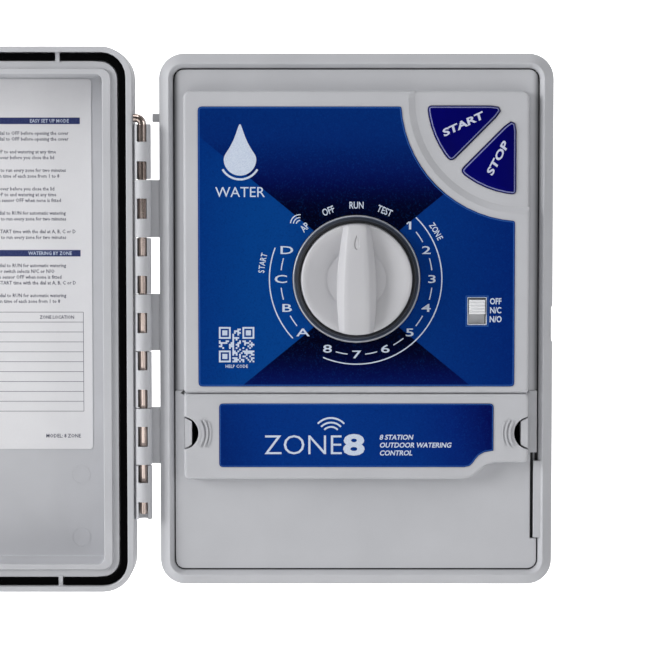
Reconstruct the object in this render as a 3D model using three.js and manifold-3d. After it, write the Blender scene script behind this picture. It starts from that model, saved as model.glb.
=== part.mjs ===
// Wall-mounted irrigation controller: a shallow plastic case with a front
// control panel, a pull-off wiring cover and a lid that swings on a pin hinge.
//
// Millimetres, +Z up, +X right. The wall is the plane Y = 0 and the front
// faces -Y, so a "front" distance is measured forward from the wall (-Y).
// The origin is the middle of the case's back face.

import * as THREE from 'three';
import Module from 'manifold-3d';
import { mergeVertices } from 'three/addons/utils/BufferGeometryUtils.js';

const wasm = await Module();
wasm.setup();

// ---------------------------------------------------------------- dimensions

const GAP = 0.3;

const CASE = {
  halfWidth: 95,
  halfHeight: 128.5,
  depth: 62,
  corner: 12,
  wall: 3,
  shoulder: 4.5,
  shoulderDrop: 3,
  mouthHalfWidth: 88.2,
  mouthHalfHeight: 121.4,
  mouthCorner: 5,
  mouthFlare: 2,
  ledgeInset: 3.6,
  ledgeBack: 54,
  ledgeFront: 56.7,
};

const NOTCH = { top: 7.5, bottom: -11.5, floorTop: 4.8, floorBottom: -7, depth: 1.4 };

const KEEPER = { left: 85.9, right: 90.4, bottom: -105.5, top: -68.1, front: 61.2 };

const FACE = {
  flangeBack: 57,
  flangeFront: 59.6,
  flangeHalfWidth: 87.6,
  flangeHalfHeight: 120.8,
  flangeCorner: 4.4,
  raisedHalfWidth: 83.1,
  front: 66.6,
  skin: 3.2,
  edge: 1.6,
  wall: 2.4,
};

const PANEL = { top: 110.4, bottom: -34.7, flangeBottom: -33.7, corner: 3.5 };

const POD = {
  x: 79.7,
  z: 106.4,
  floor: 65,
  slopeRadius: 55,
  floorRadius: 51.7,
  buttonRadius: 45.4,
  sideInset: 3.5,
  splitOffset: 4.6,
};

const LABEL = {
  halfWidth: 76,
  top: 102.8,
  bottom: -31.5,
  corner: 2,
  arcRadius: 58.4,
  thickness: 0.25,
};

const DIAL = {
  z: 20.3,
  seatRadius: 30.9,
  seatFloor: 65,
  bezelOuter: 30.6,
  bezelInner: 26.95,
  bezelFront: 68.2,
  knobRadius: 26.5,
  knobFront: 75.4,
  gripFront: 80,
  gripHalfWidth: 9.6,
  gripTopHalfWidth: 6.3,
  shaftRadius: 3,
};

const BUTTON = { front: 66, travelGap: 0.3, flange: 1.4, stemRadius: 3, stemBack: 61 };

const SLIDER = { x: 57.95, slotHalfWidth: 4.25, slotTop: 11.1, slotBottom: -1.4 };

const BOARD = { back: 49, front: 50.6, halfWidth: 78.5, top: 105.5, bottom: -28 };

const COVER = {
  top: -35,
  bottom: -76.5,
  stepX: 52,
  stepEndX: 66.5,
  stepZ: -68.4,
  flangeTop: -34,
  flangeNotchX: 84.5,
  flangeNotchTop: -64.2,
};

const COVER_LABEL = { halfWidth: 66.1, top: -39.7, bottom: -70.5, stepX: 52, stepZ: -62.5 };

const TAB = {
  z: -54.1,
  centreX: 84.2,
  openingRadius: 8.15,
  radius: 7.3,
  inner: 79.4,
  outer: 82.7,
  pivotX: 80.9,
  pivotFront: 50,
  pinRadius: 1.2,
};

const HINGE = { x: -103, front: 62, barrel: 4.2, bore: 2.35, pin: 2, windowHalf: 2.35 };

// Each knuckle's top and bottom height, from the top of the hinge down.
const LID_KNUCKLES = [[94.5, 68.2], [39.8, 13.1], [-15, -42], [-70, -96.2]];
const CASE_KNUCKLES = [[67.8, 40.2], [12.7, -14.6], [-42.4, -69.6]];
const LID_BAND = 9.4;
const CASE_WINDOW = 9.7;

const PIN = { top: 97.5, bottom: -93.7, legEnd: -98.9, bend: 3 };

const LID = {
  halfWidth: 98.5,
  halfHeight: 131.5,
  corner: 15,
  lipBack: 58.8,
  front: 91.5,
  floor: 88.5,
  shoulder: 11,
  shoulderDepth: 13,
  grooveOuterX: 95.4,
  grooveOuterZ: 128.9,
  grooveInnerX: 91.2,
  grooveInnerZ: 124.7,
  grooveFloor: 65.2,
  shelfBack: 63,
  ridgeOuterX: 87.9,
  ridgeOuterZ: 121.1,
  ridgeInnerX: 83.8,
  ridgeInnerZ: 118.4,
  ridgeBack: 61.7,
  groovePartX: 62.5,
};

const LID_LABEL = { halfWidth: 75.9, top: 117.4, bottom: -65.1, thickness: 0.3 };

const TERMINALS = { pitch: 7.2, height: 12, back: 9.6, front: 22, z: -100, screwRadius: 2.3 };

const PLASTIC = { color: 0xbcbdc1, roughness: 0.45, metalness: 0 };
const PANEL_PLASTIC = { color: 0xb9babe, roughness: 0.45, metalness: 0 };
const NAVY_PLASTIC = { color: 0x00055f, roughness: 0.3, metalness: 0 };
const BLACK_PLASTIC = { color: 0x101114, roughness: 0.5, metalness: 0 };
const BLUE_PRINT = { color: 0x05408a, roughness: 0.35, metalness: 0 };
const PAPER = { color: 0xe9e9ea, roughness: 0.6, metalness: 0 };
const CIRCUIT = { color: 0x1c5a33, roughness: 0.5, metalness: 0 };
const STEEL = { color: 0xb8b4ae, roughness: 0.3, metalness: 1 };
const FOAM = { color: 0x08080a, roughness: 0.95, metalness: 0 };
const COPPER = { color: 0xa4602c, roughness: 0.4, metalness: 0.8 };

// ------------------------------------------------------------------- solids

/** A closed three.js geometry as a solid that can be joined and cut. */
function solid(geometry) {
  const bare = geometry.clone();
  bare.deleteAttribute('normal');
  bare.deleteAttribute('uv');
  const merged = mergeVertices(bare, 1e-4);
  const mesh = new wasm.Mesh({
    numProp: 3,
    vertProperties: new Float32Array(merged.attributes.position.array),
    triVerts: new Uint32Array(merged.index.array),
  });
  return new wasm.Manifold(mesh);
}

/** Every solid in a list joined into one. */
function join(...parts) {
  return parts.reduce((whole, part) => whole.add(part));
}

/** A solid with every later one cut away. */
function cut(whole, ...tools) {
  return tools.reduce((left, tool) => left.subtract(tool), whole);
}

/** A finished solid as a named mesh with a material of its own. */
function piece(name, shape, finish) {
  const { vertProperties, triVerts } = shape.getMesh();
  const geometry = new THREE.BufferGeometry();
  geometry.setAttribute('position', new THREE.BufferAttribute(vertProperties, 3));
  geometry.setIndex(new THREE.BufferAttribute(triVerts, 1));
  geometry.computeVertexNormals();
  const mesh = new THREE.Mesh(geometry, new THREE.MeshStandardMaterial(finish));
  mesh.name = name;
  return mesh;
}

/** An outline in X and Z pushed forward from back to front, its end edges cut back. */
function slab(outline, back, front, { inset = 0, depth = inset, segments = 1, curve = 3 } = {}) {
  const geometry = new THREE.ExtrudeGeometry(outline, {
    curveSegments: curve,
    depth: front - back - 2 * depth,
    bevelEnabled: inset > 0,
    bevelThickness: depth,
    bevelSize: inset,
    bevelOffset: -inset,
    bevelSegments: segments,
  });
  geometry.translate(0, 0, back + depth);
  geometry.rotateX(Math.PI / 2);
  return solid(geometry);
}

/** A slab whose front edge alone is cut back. */
function cappedSlab(outline, back, front, edge) {
  const square = slab(outline, back, (back + front) / 2, { curve: edge.curve });
  return slab(outline, back, front, edge).add(square);
}

/** A box given by its ranges in X, front distance and Z. */
function block([left, right], [back, front], [bottom, top]) {
  const geometry = new THREE.BoxGeometry(right - left, front - back, top - bottom);
  geometry.translate((left + right) / 2, -(back + front) / 2, (bottom + top) / 2);
  return solid(geometry);
}

/** A round bar whose axis points forward. */
function disc(x, z, radius, back, front, sides = 24) {
  const geometry = new THREE.CylinderGeometry(radius, radius, front - back, sides);
  geometry.translate(x, -(back + front) / 2, z);
  return solid(geometry);
}

/** A round bar whose axis is vertical, at a front distance. */
function upright(x, front, radius, bottom, top, sides = 16) {
  const geometry = new THREE.CylinderGeometry(radius, radius, top - bottom, sides);
  geometry.rotateX(Math.PI / 2);
  geometry.translate(x, -front, (bottom + top) / 2);
  return solid(geometry);
}

/** A profile of [radius, front] points, from the back forward, turned about a forward axis. */
function turned(x, z, profile, sides = 40) {
  const forward = profile.map(([radius, front]) => new THREE.Vector2(radius, -front));
  const points = forward.toReversed();
  const geometry = new THREE.LatheGeometry(points, sides);
  geometry.translate(x, 0, z);
  return solid(geometry);
}

/** A profile of [front, Z] points spread along X. */
function strip(profile, left, right) {
  const outline = new THREE.Shape(profile.map(([front, z]) => new THREE.Vector2(front, z)));
  const geometry = new THREE.ExtrudeGeometry(outline, { depth: right - left, bevelEnabled: false });
  geometry.applyMatrix4(new THREE.Matrix4().set(
    0, 0, -1, right,
    -1, 0, 0, 0,
    0, 1, 0, 0,
    0, 0, 0, 1,
  ));
  return solid(geometry);
}

/** A corner-rounded outline through [x, z, radius] points. */
function rounded(corners) {
  const outline = new THREE.Shape();
  corners.forEach(([x, z, radius = 0], i) => {
    const here = new THREE.Vector2(x, z);
    const before = new THREE.Vector2(...corners.at(i - 1).slice(0, 2)).sub(here).normalize();
    const after = new THREE.Vector2(...corners[(i + 1) % corners.length].slice(0, 2));
    after.sub(here).normalize();
    const reach = radius / Math.tan(Math.acos(before.dot(after)) / 2);
    const enter = here.clone().addScaledVector(before, reach);
    const leave = here.clone().addScaledVector(after, reach);
    if (i === 0) {
      outline.moveTo(enter.x, enter.y);
    } else {
      outline.lineTo(enter.x, enter.y);
    }
    if (radius > 0) {
      outline.quadraticCurveTo(x, z, leave.x, leave.y);
    }
  });
  outline.closePath();
  return outline;
}

/** A rectangle with round corners: one radius, or one each for the top and the bottom. */
function roundedRectangle([left, right], [bottom, top], radius, bottomRadius = radius) {
  const outline = new THREE.Shape();
  const quarter = Math.PI / 2;
  outline.absarc(right - radius, top - radius, radius, 0, quarter);
  outline.absarc(left + radius, top - radius, radius, quarter, 2 * quarter);
  outline.absarc(left + bottomRadius, bottom + bottomRadius, bottomRadius, 2 * quarter, 3 * quarter);
  outline.absarc(right - bottomRadius, bottom + bottomRadius, bottomRadius, 3 * quarter, 4 * quarter);
  return outline;
}

/** A centred rectangle with round corners. */
function frameOutline(halfWidth, halfHeight, radius) {
  return roundedRectangle([-halfWidth, halfWidth], [-halfHeight, halfHeight], radius);
}

/** Points on an arc about a centre, from one angle to another in degrees. */
function arcPoints(x, z, radius, from, to, steps) {
  return Array.from({ length: steps + 1 }, (_, i) => {
    const angle = THREE.MathUtils.degToRad(from + ((to - from) * i) / steps);
    return [x + radius * Math.cos(angle), z + radius * Math.sin(angle)];
  });
}

/** A curved bar between two radii about a centre. */
function arcBar(x, z, inner, outer, from, to, back, front) {
  const far = arcPoints(x, z, outer, from, to, 8);
  const near = arcPoints(x, z, inner, to, from, 8);
  const outline = new THREE.Shape([...far, ...near].map((p) => new THREE.Vector2(...p)));
  return slab(outline, back, front);
}

// --------------------------------------------------------------------- case

/** The moulded back case, with its rim, hinge knuckles and inner posts. */
function backCase() {
  const outline = frameOutline(CASE.halfWidth, CASE.halfHeight, CASE.corner);
  const body = join(
    slab(outline, 0, 50, { inset: 1.5, curve: 4 }),
    slab(outline, 20, CASE.depth, {
      inset: CASE.shoulder,
      depth: CASE.shoulderDrop,
      curve: 4,
    }),
  );
  const inside = frameOutline(
    CASE.halfWidth - CASE.wall,
    CASE.halfHeight - CASE.wall,
    CASE.corner - CASE.wall,
  );
  const mouth = frameOutline(CASE.mouthHalfWidth, CASE.mouthHalfHeight, CASE.mouthCorner);
  const ledge = frameOutline(
    CASE.mouthHalfWidth - CASE.ledgeInset,
    CASE.mouthHalfHeight - CASE.ledgeInset,
    2,
  );
  const flare = frameOutline(
    CASE.mouthHalfWidth + CASE.mouthFlare,
    CASE.mouthHalfHeight + CASE.mouthFlare,
    CASE.mouthCorner + CASE.mouthFlare,
  );
  const shell = cut(
    body,
    slab(inside, CASE.wall, CASE.ledgeBack),
    slab(ledge, CASE.ledgeBack - 1, CASE.depth + 1),
    slab(mouth, CASE.ledgeFront, CASE.depth + 1),
    slab(flare, 59.6, 70, { inset: CASE.mouthFlare, depth: 2.4 }),
    caseNotch(),
    wallKeyhole(),
    disc(-60, -104, 2.5, -1, 4, 16),
    disc(60, -104, 2.5, -1, 4, 16),
    bottomHole(-52, 11),
    bottomHole(40, 14),
  );
  const keeper = block(
    [KEEPER.left, KEEPER.right],
    [CASE.ledgeBack, KEEPER.front],
    [KEEPER.bottom, KEEPER.top],
  );
  const retainer = block([-98.4, -94.5], [52, 57.2], [95.8, 99.7]);
  const posts = [[-14, -112], [78, -112], [-14, -68], [78, -68]].map(([x, z]) =>
    disc(x, z, 3.2, CASE.wall - 1, 7.7, 12),
  );
  return join(shell, keeper, retainer, ...posts, ...CASE_KNUCKLES.map(caseKnuckle));
}

/** The shallow notch in the right edge, where the lid's catch rests. */
function caseNotch() {
  const edge = CASE.halfWidth;
  const floor = edge - NOTCH.depth;
  const slope = (NOTCH.top - NOTCH.floorTop) / NOTCH.depth;
  const outline = new THREE.Shape([
    new THREE.Vector2(floor, NOTCH.floorBottom),
    new THREE.Vector2(edge + 1, NOTCH.bottom - slope),
    new THREE.Vector2(edge + 1, NOTCH.top + slope),
    new THREE.Vector2(floor, NOTCH.floorTop),
  ]);
  return slab(outline, 52, CASE.depth + 1);
}

/** The keyhole that hangs the case on a wall screw. */
function wallKeyhole() {
  return join(
    disc(0, 104, 5, -1, 4, 20),
    block([-2.4, 2.4], [-1, 4], [104, 114]),
  );
}

/** A round cable opening through the bottom wall. */
function bottomHole(x, radius) {
  return upright(x, 24, radius, -CASE.halfHeight - 1, -CASE.halfHeight + CASE.wall + 1, 28);
}

/** One knuckle of the case: a barrel with a window, on a leaf from the side wall. */
function caseKnuckle([top, bottom]) {
  const middle = (top + bottom) / 2;
  const leaf = block([HINGE.x - 2.5, -94.5], [HINGE.front - 7.5, HINGE.front - 3.7], [bottom, top]);
  const barrel = upright(HINGE.x, HINGE.front, HINGE.barrel, bottom, top);
  const root = block([HINGE.x - 2.5, HINGE.x + 3], [HINGE.front - 4, HINGE.front - 2.4], [bottom, top]);
  return cut(
    join(barrel, leaf, root),
    upright(HINGE.x, HINGE.front, HINGE.bore, bottom - 1, top + 1, 12),
    block(
      [HINGE.x - HINGE.windowHalf, HINGE.x + HINGE.windowHalf],
      [HINGE.front, HINGE.front + 6],
      [middle - CASE_WINDOW / 2, middle + CASE_WINDOW / 2],
    ),
  );
}

/** A flanged bushing in a bottom opening: with a bore it takes a cable, without it is a plug. */
function bushing(x, radius, bore) {
  const base = -CASE.halfHeight;
  const body = join(
    upright(x, 24, radius - GAP, base - 1, base + CASE.wall + 4, 28),
    upright(x, 24, radius + 2.5, base - 2.2, base - GAP, 28),
  );
  return bore ? body.subtract(upright(x, 24, bore, base - 5, base + 12, 20)) : body;
}

/** The laminated core of the mains transformer, with two windows for the winding. */
function transformerCore() {
  const windows = [[-71, -64], [-50, -43]].map((range) => block(range, [0, 60], [-111, -83]));
  return cut(block([-80, -34], [11, 29], [-118, -76]), ...windows);
}

/** The winding, wrapped round the core's middle leg. */
function transformerCoil() {
  const outer = block([-70.7, -43.3], [4, 36], [-110.7, -83.3]);
  return outer.subtract(block([-64.3, -49.7], [10.7, 29.3], [-120, -70]));
}

/** The wiring board at the bottom of the case. */
function terminalBoard() {
  return block([-19, 83], [8, 9.6], [-117, -62]);
}

/** A screw terminal block of several ways, with a wire mouth under each screw. */
function terminalBlock(left, ways, z) {
  const right = left + ways * TERMINALS.pitch;
  const half = TERMINALS.height / 2;
  const body = block([left, right], [TERMINALS.back, TERMINALS.front], [z - half, z + half]);
  const tools = Array.from({ length: ways }, (_, i) => {
    const x = left + (i + 0.5) * TERMINALS.pitch;
    return [
      disc(x, z, TERMINALS.screwRadius + GAP, TERMINALS.front - 5, TERMINALS.front + 1, 12),
      block([x - 2.2, x + 2.2], [12, 16], [z - half - 1, z - 1]),
    ];
  });
  return cut(body, ...tools.flat());
}

/** A slotted terminal screw. */
function terminalScrew(left, way, z) {
  const x = left + (way + 0.5) * TERMINALS.pitch;
  const head = TERMINALS.front - 1;
  return cut(
    disc(x, z, TERMINALS.screwRadius, TERMINALS.front - 4.7, head, 12),
    block([x - 3, x + 3], [head - 1, head + 1], [z - 0.4, z + 0.4]),
  );
}

/** The flat ribbon that joins the wiring board to the control board. */
function ribbonCable() {
  return strip(
    [
      [9.9, -64.5], [26, -64.5], [44, -32], [48.7, -30.5], [48.7, -24],
      [47.9, -24], [47.9, -29.9], [43.4, -31.4], [25.4, -63.7], [9.9, -63.7],
    ],
    24,
    44,
  );
}

function caseAssembly() {
  const group = new THREE.Group();
  const zoneLeft = 16;
  const supplyLeft = 16;
  const supplyZ = -80;
  group.add(
    piece('back_case', backCase(), PLASTIC),
    piece('cable_bushing', bushing(-52, 11, 4.5), BLACK_PLASTIC),
    piece('conduit_plug', bushing(40, 14, 0), PLASTIC),
    piece('transformer_core', transformerCore(), STEEL),
    piece('transformer_coil', transformerCoil(), COPPER),
    piece('terminal_board', terminalBoard(), CIRCUIT),
    piece('zone_terminals', terminalBlock(zoneLeft, 8, TERMINALS.z), NAVY_PLASTIC),
    piece('supply_terminals', terminalBlock(supplyLeft, 6, supplyZ), NAVY_PLASTIC),
    piece('fuse_holder', fuseHolder(), BLACK_PLASTIC),
    piece('fuse', fuse(), STEEL),
    piece('ribbon_cable', ribbonCable(), PAPER),
  );
  for (let way = 0; way < 8; way += 1) {
    const screw = terminalScrew(zoneLeft, way, TERMINALS.z);
    group.add(piece(`zone_screw_${way + 1}`, screw, STEEL));
  }
  for (let way = 0; way < 6; way += 1) {
    const screw = terminalScrew(supplyLeft, way, supplyZ);
    group.add(piece(`supply_screw_${way + 1}`, screw, STEEL));
  }
  return group;
}

/** The open cradle that holds the fuse. */
function fuseHolder() {
  return cut(
    block([-6, 2], [TERMINALS.back, 18], [-108, -80]),
    upright(-2, 15.5, 2.9, -105.5, -82.5, 16),
    block([-4.9, 0.9], [15.5, 19], [-105.5, -82.5]),
  );
}

function fuse() {
  return upright(-2, 15.5, 2.6, -104.5, -83.5, 16);
}

// -------------------------------------------------------------------- panel

/** The outline of one button, reflected in the pod's diagonal for the other. */
function buttonOutline(mirrored, grow = 0) {
  const radius = POD.buttonRadius + grow;
  const side = -POD.sideInset + grow;
  const split = POD.splitOffset - grow * Math.SQRT2;
  const bottom = (split - Math.sqrt(2 * radius ** 2 - split ** 2)) / 2;
  const first = Math.atan2(side, -Math.sqrt(radius ** 2 - side ** 2));
  const last = Math.atan2(bottom, bottom - split);
  const steps = 6;
  const arc = Array.from({ length: steps + 1 }, (_, i) => {
    const angle = first + ((last - first) * i) / steps;
    const rounding = i === 0 ? 1.6 + grow : i === steps ? 2.2 + grow : 0;
    return [radius * Math.cos(angle), radius * Math.sin(angle), rounding];
  });
  const corners = [[side - split, side, 3 + grow], ...arc];
  return rounded(corners.map(([x, z, r]) =>
    mirrored ? [POD.x + z, POD.z + x, r] : [POD.x + x, POD.z + z, r],
  ));
}

/** The moulded front panel with its recessed button pod, dial seat and switch slot. */
function frontPanel() {
  const flange = roundedRectangle(
    [-FACE.flangeHalfWidth, FACE.flangeHalfWidth],
    [PANEL.flangeBottom, FACE.flangeHalfHeight],
    FACE.flangeCorner,
    0.6,
  );
  const face = roundedRectangle(
    [-FACE.raisedHalfWidth, FACE.raisedHalfWidth],
    [PANEL.bottom, PANEL.top],
    PANEL.corner,
    1.8,
  );
  const hollow = roundedRectangle(
    [-FACE.raisedHalfWidth + FACE.wall, FACE.raisedHalfWidth - FACE.wall],
    [PANEL.bottom + FACE.wall, PANEL.top - FACE.wall],
    2,
  );
  const podCone = turned(POD.x, POD.z, [
    [0, POD.floor - 3],
    [POD.floorRadius, POD.floor - 3],
    [POD.floorRadius, POD.floor],
    [POD.slopeRadius + 2, FACE.front + 1],
    [0, FACE.front + 1],
  ], 64);
  const podFloor = cappedSlab(face, FACE.flangeBack, POD.floor, { inset: FACE.edge, segments: 2 });
  const pod = podFloor.intersect(disc(POD.x, POD.z, POD.slopeRadius, 0, 80, 64));
  const posts = boardCorners().map(([x, z]) => disc(x, z, 3.4, BOARD.front + GAP, 64, 12));
  const cavity = slab(hollow, FACE.flangeBack - 1, FACE.front - FACE.skin);
  const raised = cappedSlab(face, FACE.flangeBack, FACE.front, { inset: FACE.edge, segments: 2 });
  const shell = join(slab(flange, FACE.flangeBack, FACE.flangeFront), cut(raised, podCone), pod);
  return cut(
    join(cut(shell, cavity), ...posts),
    disc(0, DIAL.z, DIAL.seatRadius, DIAL.seatFloor, 80, 40),
    disc(0, DIAL.z, 8.5, 55, 80, 20),
    slab(buttonOutline(false, GAP + 0.1), 60, 70),
    slab(buttonOutline(true, GAP + 0.1), 60, 70),
    block(
      [SLIDER.x - SLIDER.slotHalfWidth, SLIDER.x + SLIDER.slotHalfWidth],
      [60, 70],
      [SLIDER.slotBottom, SLIDER.slotTop],
    ),
    ...boardCorners().map(([x, z]) => disc(x, z, 1.5, 45, 60, 8)),
  );
}

/** Where the control board is screwed to the panel's posts. */
function boardCorners() {
  return [[-75, 102], [75, 102], [-75, -24], [75, -24]];
}

/** The printed sheet on the panel, cut round the dial, the switch and the pod. */
function panelLabel() {
  const start = Math.atan2(LABEL.top - POD.z, -Math.sqrt(LABEL.arcRadius ** 2 - (LABEL.top - POD.z) ** 2));
  const end = Math.atan2(-Math.sqrt(LABEL.arcRadius ** 2 - (LABEL.halfWidth - POD.x) ** 2), LABEL.halfWidth - POD.x);
  const steps = 14;
  const arc = Array.from({ length: steps + 1 }, (_, i) => {
    const angle = start + ((end - start) * i) / steps;
    const rounding = i === 0 || i === steps ? 1.2 : 0;
    return [
      POD.x + LABEL.arcRadius * Math.cos(angle),
      POD.z + LABEL.arcRadius * Math.sin(angle),
      rounding,
    ];
  });
  const outline = rounded([
    [-LABEL.halfWidth, LABEL.top, LABEL.corner],
    ...arc,
    [LABEL.halfWidth, LABEL.bottom, LABEL.corner],
    [-LABEL.halfWidth, LABEL.bottom, LABEL.corner],
  ]);
  const sheet = slab(outline, FACE.front, FACE.front + LABEL.thickness);
  return cut(
    sheet,
    disc(0, DIAL.z, DIAL.seatRadius, 60, 70, 40),
    block(
      [SLIDER.x - SLIDER.slotHalfWidth - 0.4, SLIDER.x + SLIDER.slotHalfWidth + 0.4],
      [60, 70],
      [SLIDER.slotBottom - 0.4, SLIDER.slotTop + 0.4],
    ),
  );
}

/** The control board behind the panel. */
function controlBoard() {
  const plate = block([-BOARD.halfWidth, BOARD.halfWidth], [BOARD.back, BOARD.front], [BOARD.bottom, BOARD.top]);
  return cut(plate, ...boardCorners().map(([x, z]) => disc(x, z, 1.9, 45, 55, 12)));
}

/** The rotary switch body with the bushing that guides the dial's shaft. */
function rotarySwitch() {
  return cut(
    join(
      disc(0, DIAL.z, 13, BOARD.front, 57, 24),
      disc(0, DIAL.z, 5, 56, 61, 20),
    ),
    disc(0, DIAL.z, DIAL.shaftRadius + 0.3, 52, 70, 16),
  );
}

/** A push switch under a button: a square body and a round stem. */
function pushSwitch([x, z]) {
  return join(
    block([x - 3, x + 3], [BOARD.front, BOARD.front + 4], [z - 3, z + 3]),
    disc(x, z, 1.8, BOARD.front + 3, BUTTON.stemBack - 1, 12),
  );
}

/** The body of the three-position slide switch. */
function slideSwitch() {
  return cut(
    block([SLIDER.x - 4, SLIDER.x + 4], [BOARD.front, 59.5], [-5, 14]),
    block([SLIDER.x - 1.6, SLIDER.x + 1.6], [56, 60], [-1.2, 10.2]),
  );
}

/** The radio board and its screening can. */
function wirelessModule() {
  return join(
    block([20, 46], [BOARD.back - 1.2, BOARD.back], [66, 96]),
    block([22, 44], [BOARD.back - 3.6, BOARD.back - 1], [68, 88]),
  );
}

/** The clip that holds the clock's button cell. */
function cellHolder() {
  return cut(
    join(disc(-44, 74, 12, 43.5, BOARD.back, 24), block([-48, -40], [43.5, BOARD.back], [60, 64])),
    disc(-44, 74, 10.4, 42, 47.5, 24),
  );
}

/** A pan-head screw through the control board into a panel post. */
function boardScrew([x, z]) {
  const head = disc(x, z, 2.8, BOARD.back - 2.1, BOARD.back - GAP, 14);
  const shank = disc(x, z, 1.25, BOARD.back - 1, 58, 10);
  const recess = join(
    block([x - 1.6, x + 1.6], [46, 48], [z - 0.35, z + 0.35]),
    block([x - 0.35, x + 0.35], [46, 48], [z - 1.6, z + 1.6]),
  );
  return cut(join(head, shank), recess);
}

/** The middle of a button, where its stem and switch stand. */
function buttonMiddle(mirrored) {
  const middle = [-28, -14];
  return mirrored ? [POD.x + middle[1], POD.z + middle[0]] : [POD.x + middle[0], POD.z + middle[1]];
}

/** A push button: the cap, a hidden retaining flange and a stem. */
function pushButton(mirrored) {
  const ceiling = FACE.front - FACE.skin;
  const [x, z] = buttonMiddle(mirrored);
  return join(
    cappedSlab(buttonOutline(mirrored), ceiling - 1.5, BUTTON.front, { inset: 0.6 }),
    slab(buttonOutline(mirrored, BUTTON.flange), ceiling - 1.5, ceiling - GAP),
    disc(x, z, BUTTON.stemRadius, BUTTON.stemBack, ceiling - 1, 16),
  );
}

/** The slider's ridged finger grip, its stem and its foot in the switch. */
function sensorSlider() {
  const top = 10.3;
  const bottom = 3.4;
  const ridges = [4.2, 5.7, 7.2, 8.7].map((z) =>
    block([SLIDER.x - 5, SLIDER.x + 5], [67.4, 70], [z, z + 0.7]),
  );
  return cut(
    join(
      block([SLIDER.x - 3.9, SLIDER.x + 3.9], [63.9, 68], [bottom, top]),
      block([SLIDER.x - 1.2, SLIDER.x + 1.2], [57, 65], [bottom + 2, top - 2]),
    ),
    ...ridges,
  );
}

/** The dial's knob: a dished disc with a tapered grip bar across it. */
function knob() {
  const dish = turned(0, DIAL.z, [
    [0, 66],
    [24.4, 66],
    [DIAL.knobRadius, 66.8],
    [DIAL.knobRadius, 73.4],
    [26.1, 74.7],
    [25.2, DIAL.knobFront],
    [15, 72.6],
    [0, 72.2],
  ]);
  const outline = rounded([
    [-8.6, 31 + DIAL.z],
    [8.6, 31 + DIAL.z],
    [9.5, 12 + DIAL.z],
    [DIAL.gripHalfWidth, DIAL.z],
    [12, -31 + DIAL.z],
    [-12, -31 + DIAL.z],
    [-DIAL.gripHalfWidth, DIAL.z],
    [-9.5, 12 + DIAL.z],
  ]);
  const taper = DIAL.gripHalfWidth - DIAL.gripTopHalfWidth;
  const bar = slab(outline, 60, DIAL.gripFront, { inset: taper, depth: 6.5, segments: 3 });
  const grip = bar.intersect(disc(0, DIAL.z, 25.9, 68, 90, 40));
  const pointer = rounded([
    [0, 13.5 + DIAL.z, 0],
    [1.3, 20.5 + DIAL.z, 0.9],
    [-1.3, 20.5 + DIAL.z, 0.9],
  ]);
  return cut(
    join(dish, grip),
    slab(pointer, DIAL.gripFront - 0.9, DIAL.gripFront + 1),
    disc(0, DIAL.z, DIAL.shaftRadius + 0.15, 60, 72, 16),
  );
}

/** The steel shaft between the knob and the rotary switch. */
function knobShaft() {
  return disc(0, DIAL.z, DIAL.shaftRadius, 53, 71.5, 16);
}

/** The glossy trim ring round the knob. */
function dialBezel() {
  return turned(0, DIAL.z, [
    [DIAL.bezelInner, DIAL.seatFloor],
    [DIAL.bezelOuter, DIAL.seatFloor],
    [DIAL.bezelOuter, DIAL.bezelFront - 0.4],
    [DIAL.bezelOuter - 0.4, DIAL.bezelFront],
    [DIAL.bezelOuter - 1.2, DIAL.bezelFront],
    [DIAL.bezelOuter - 1.7, 66.8],
    [DIAL.bezelInner, 66.4],
    [DIAL.bezelInner, DIAL.seatFloor],
  ]);
}

function panelAssembly() {
  const group = new THREE.Group();
  group.add(
    piece('front_panel', frontPanel(), PANEL_PLASTIC),
    piece('panel_label', panelLabel(), BLUE_PRINT),
    piece('dial_bezel', dialBezel(), BLACK_PLASTIC),
    piece('control_board', controlBoard(), CIRCUIT),
    piece('rotary_switch', rotarySwitch(), BLACK_PLASTIC),
    piece('start_switch', pushSwitch(buttonMiddle(false)), BLACK_PLASTIC),
    piece('stop_switch', pushSwitch(buttonMiddle(true)), BLACK_PLASTIC),
    piece('slide_switch', slideSwitch(), BLACK_PLASTIC),
    piece('wireless_module', wirelessModule(), STEEL),
    piece('cell_holder', cellHolder(), BLACK_PLASTIC),
    piece('button_cell', disc(-44, 74, 10, 44, 47.2, 24), STEEL),
    piece('knob', knob(), PANEL_PLASTIC),
    piece('knob_shaft', knobShaft(), STEEL),
    piece('start_button', pushButton(false), NAVY_PLASTIC),
    piece('stop_button', pushButton(true), NAVY_PLASTIC),
    piece('sensor_slider', sensorSlider(), PAPER),
  );
  boardCorners().forEach((corner, i) => {
    group.add(piece(`board_screw_${i + 1}`, boardScrew(corner), STEEL));
  });
  return group;
}

// ------------------------------------------------------------- wiring cover

/** The raised part's outline, with the step up at its lower right. */
function coverOutline(inset) {
  const half = FACE.raisedHalfWidth - inset;
  const bottom = COVER.bottom + inset;
  const step = COVER.stepZ + inset;
  const outline = new THREE.Shape();
  outline.moveTo(-half + 2.2, COVER.top - inset);
  outline.lineTo(half - 2.2, COVER.top - inset);
  outline.quadraticCurveTo(half, COVER.top - inset, half, COVER.top - inset - 2.2);
  outline.lineTo(half, step + 2.4);
  outline.quadraticCurveTo(half, step, half - 2.4, step);
  outline.lineTo(COVER.stepEndX + 1, step);
  outline.bezierCurveTo(COVER.stepEndX - 8, step, COVER.stepX + 8, bottom, COVER.stepX - 1, bottom);
  outline.lineTo(-half + 3, bottom);
  outline.quadraticCurveTo(-half, bottom, -half, bottom + 3);
  outline.lineTo(-half, COVER.top - inset - 2.2);
  outline.quadraticCurveTo(-half, COVER.top - inset, -half + 2.2, COVER.top - inset);
  return outline;
}

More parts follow.
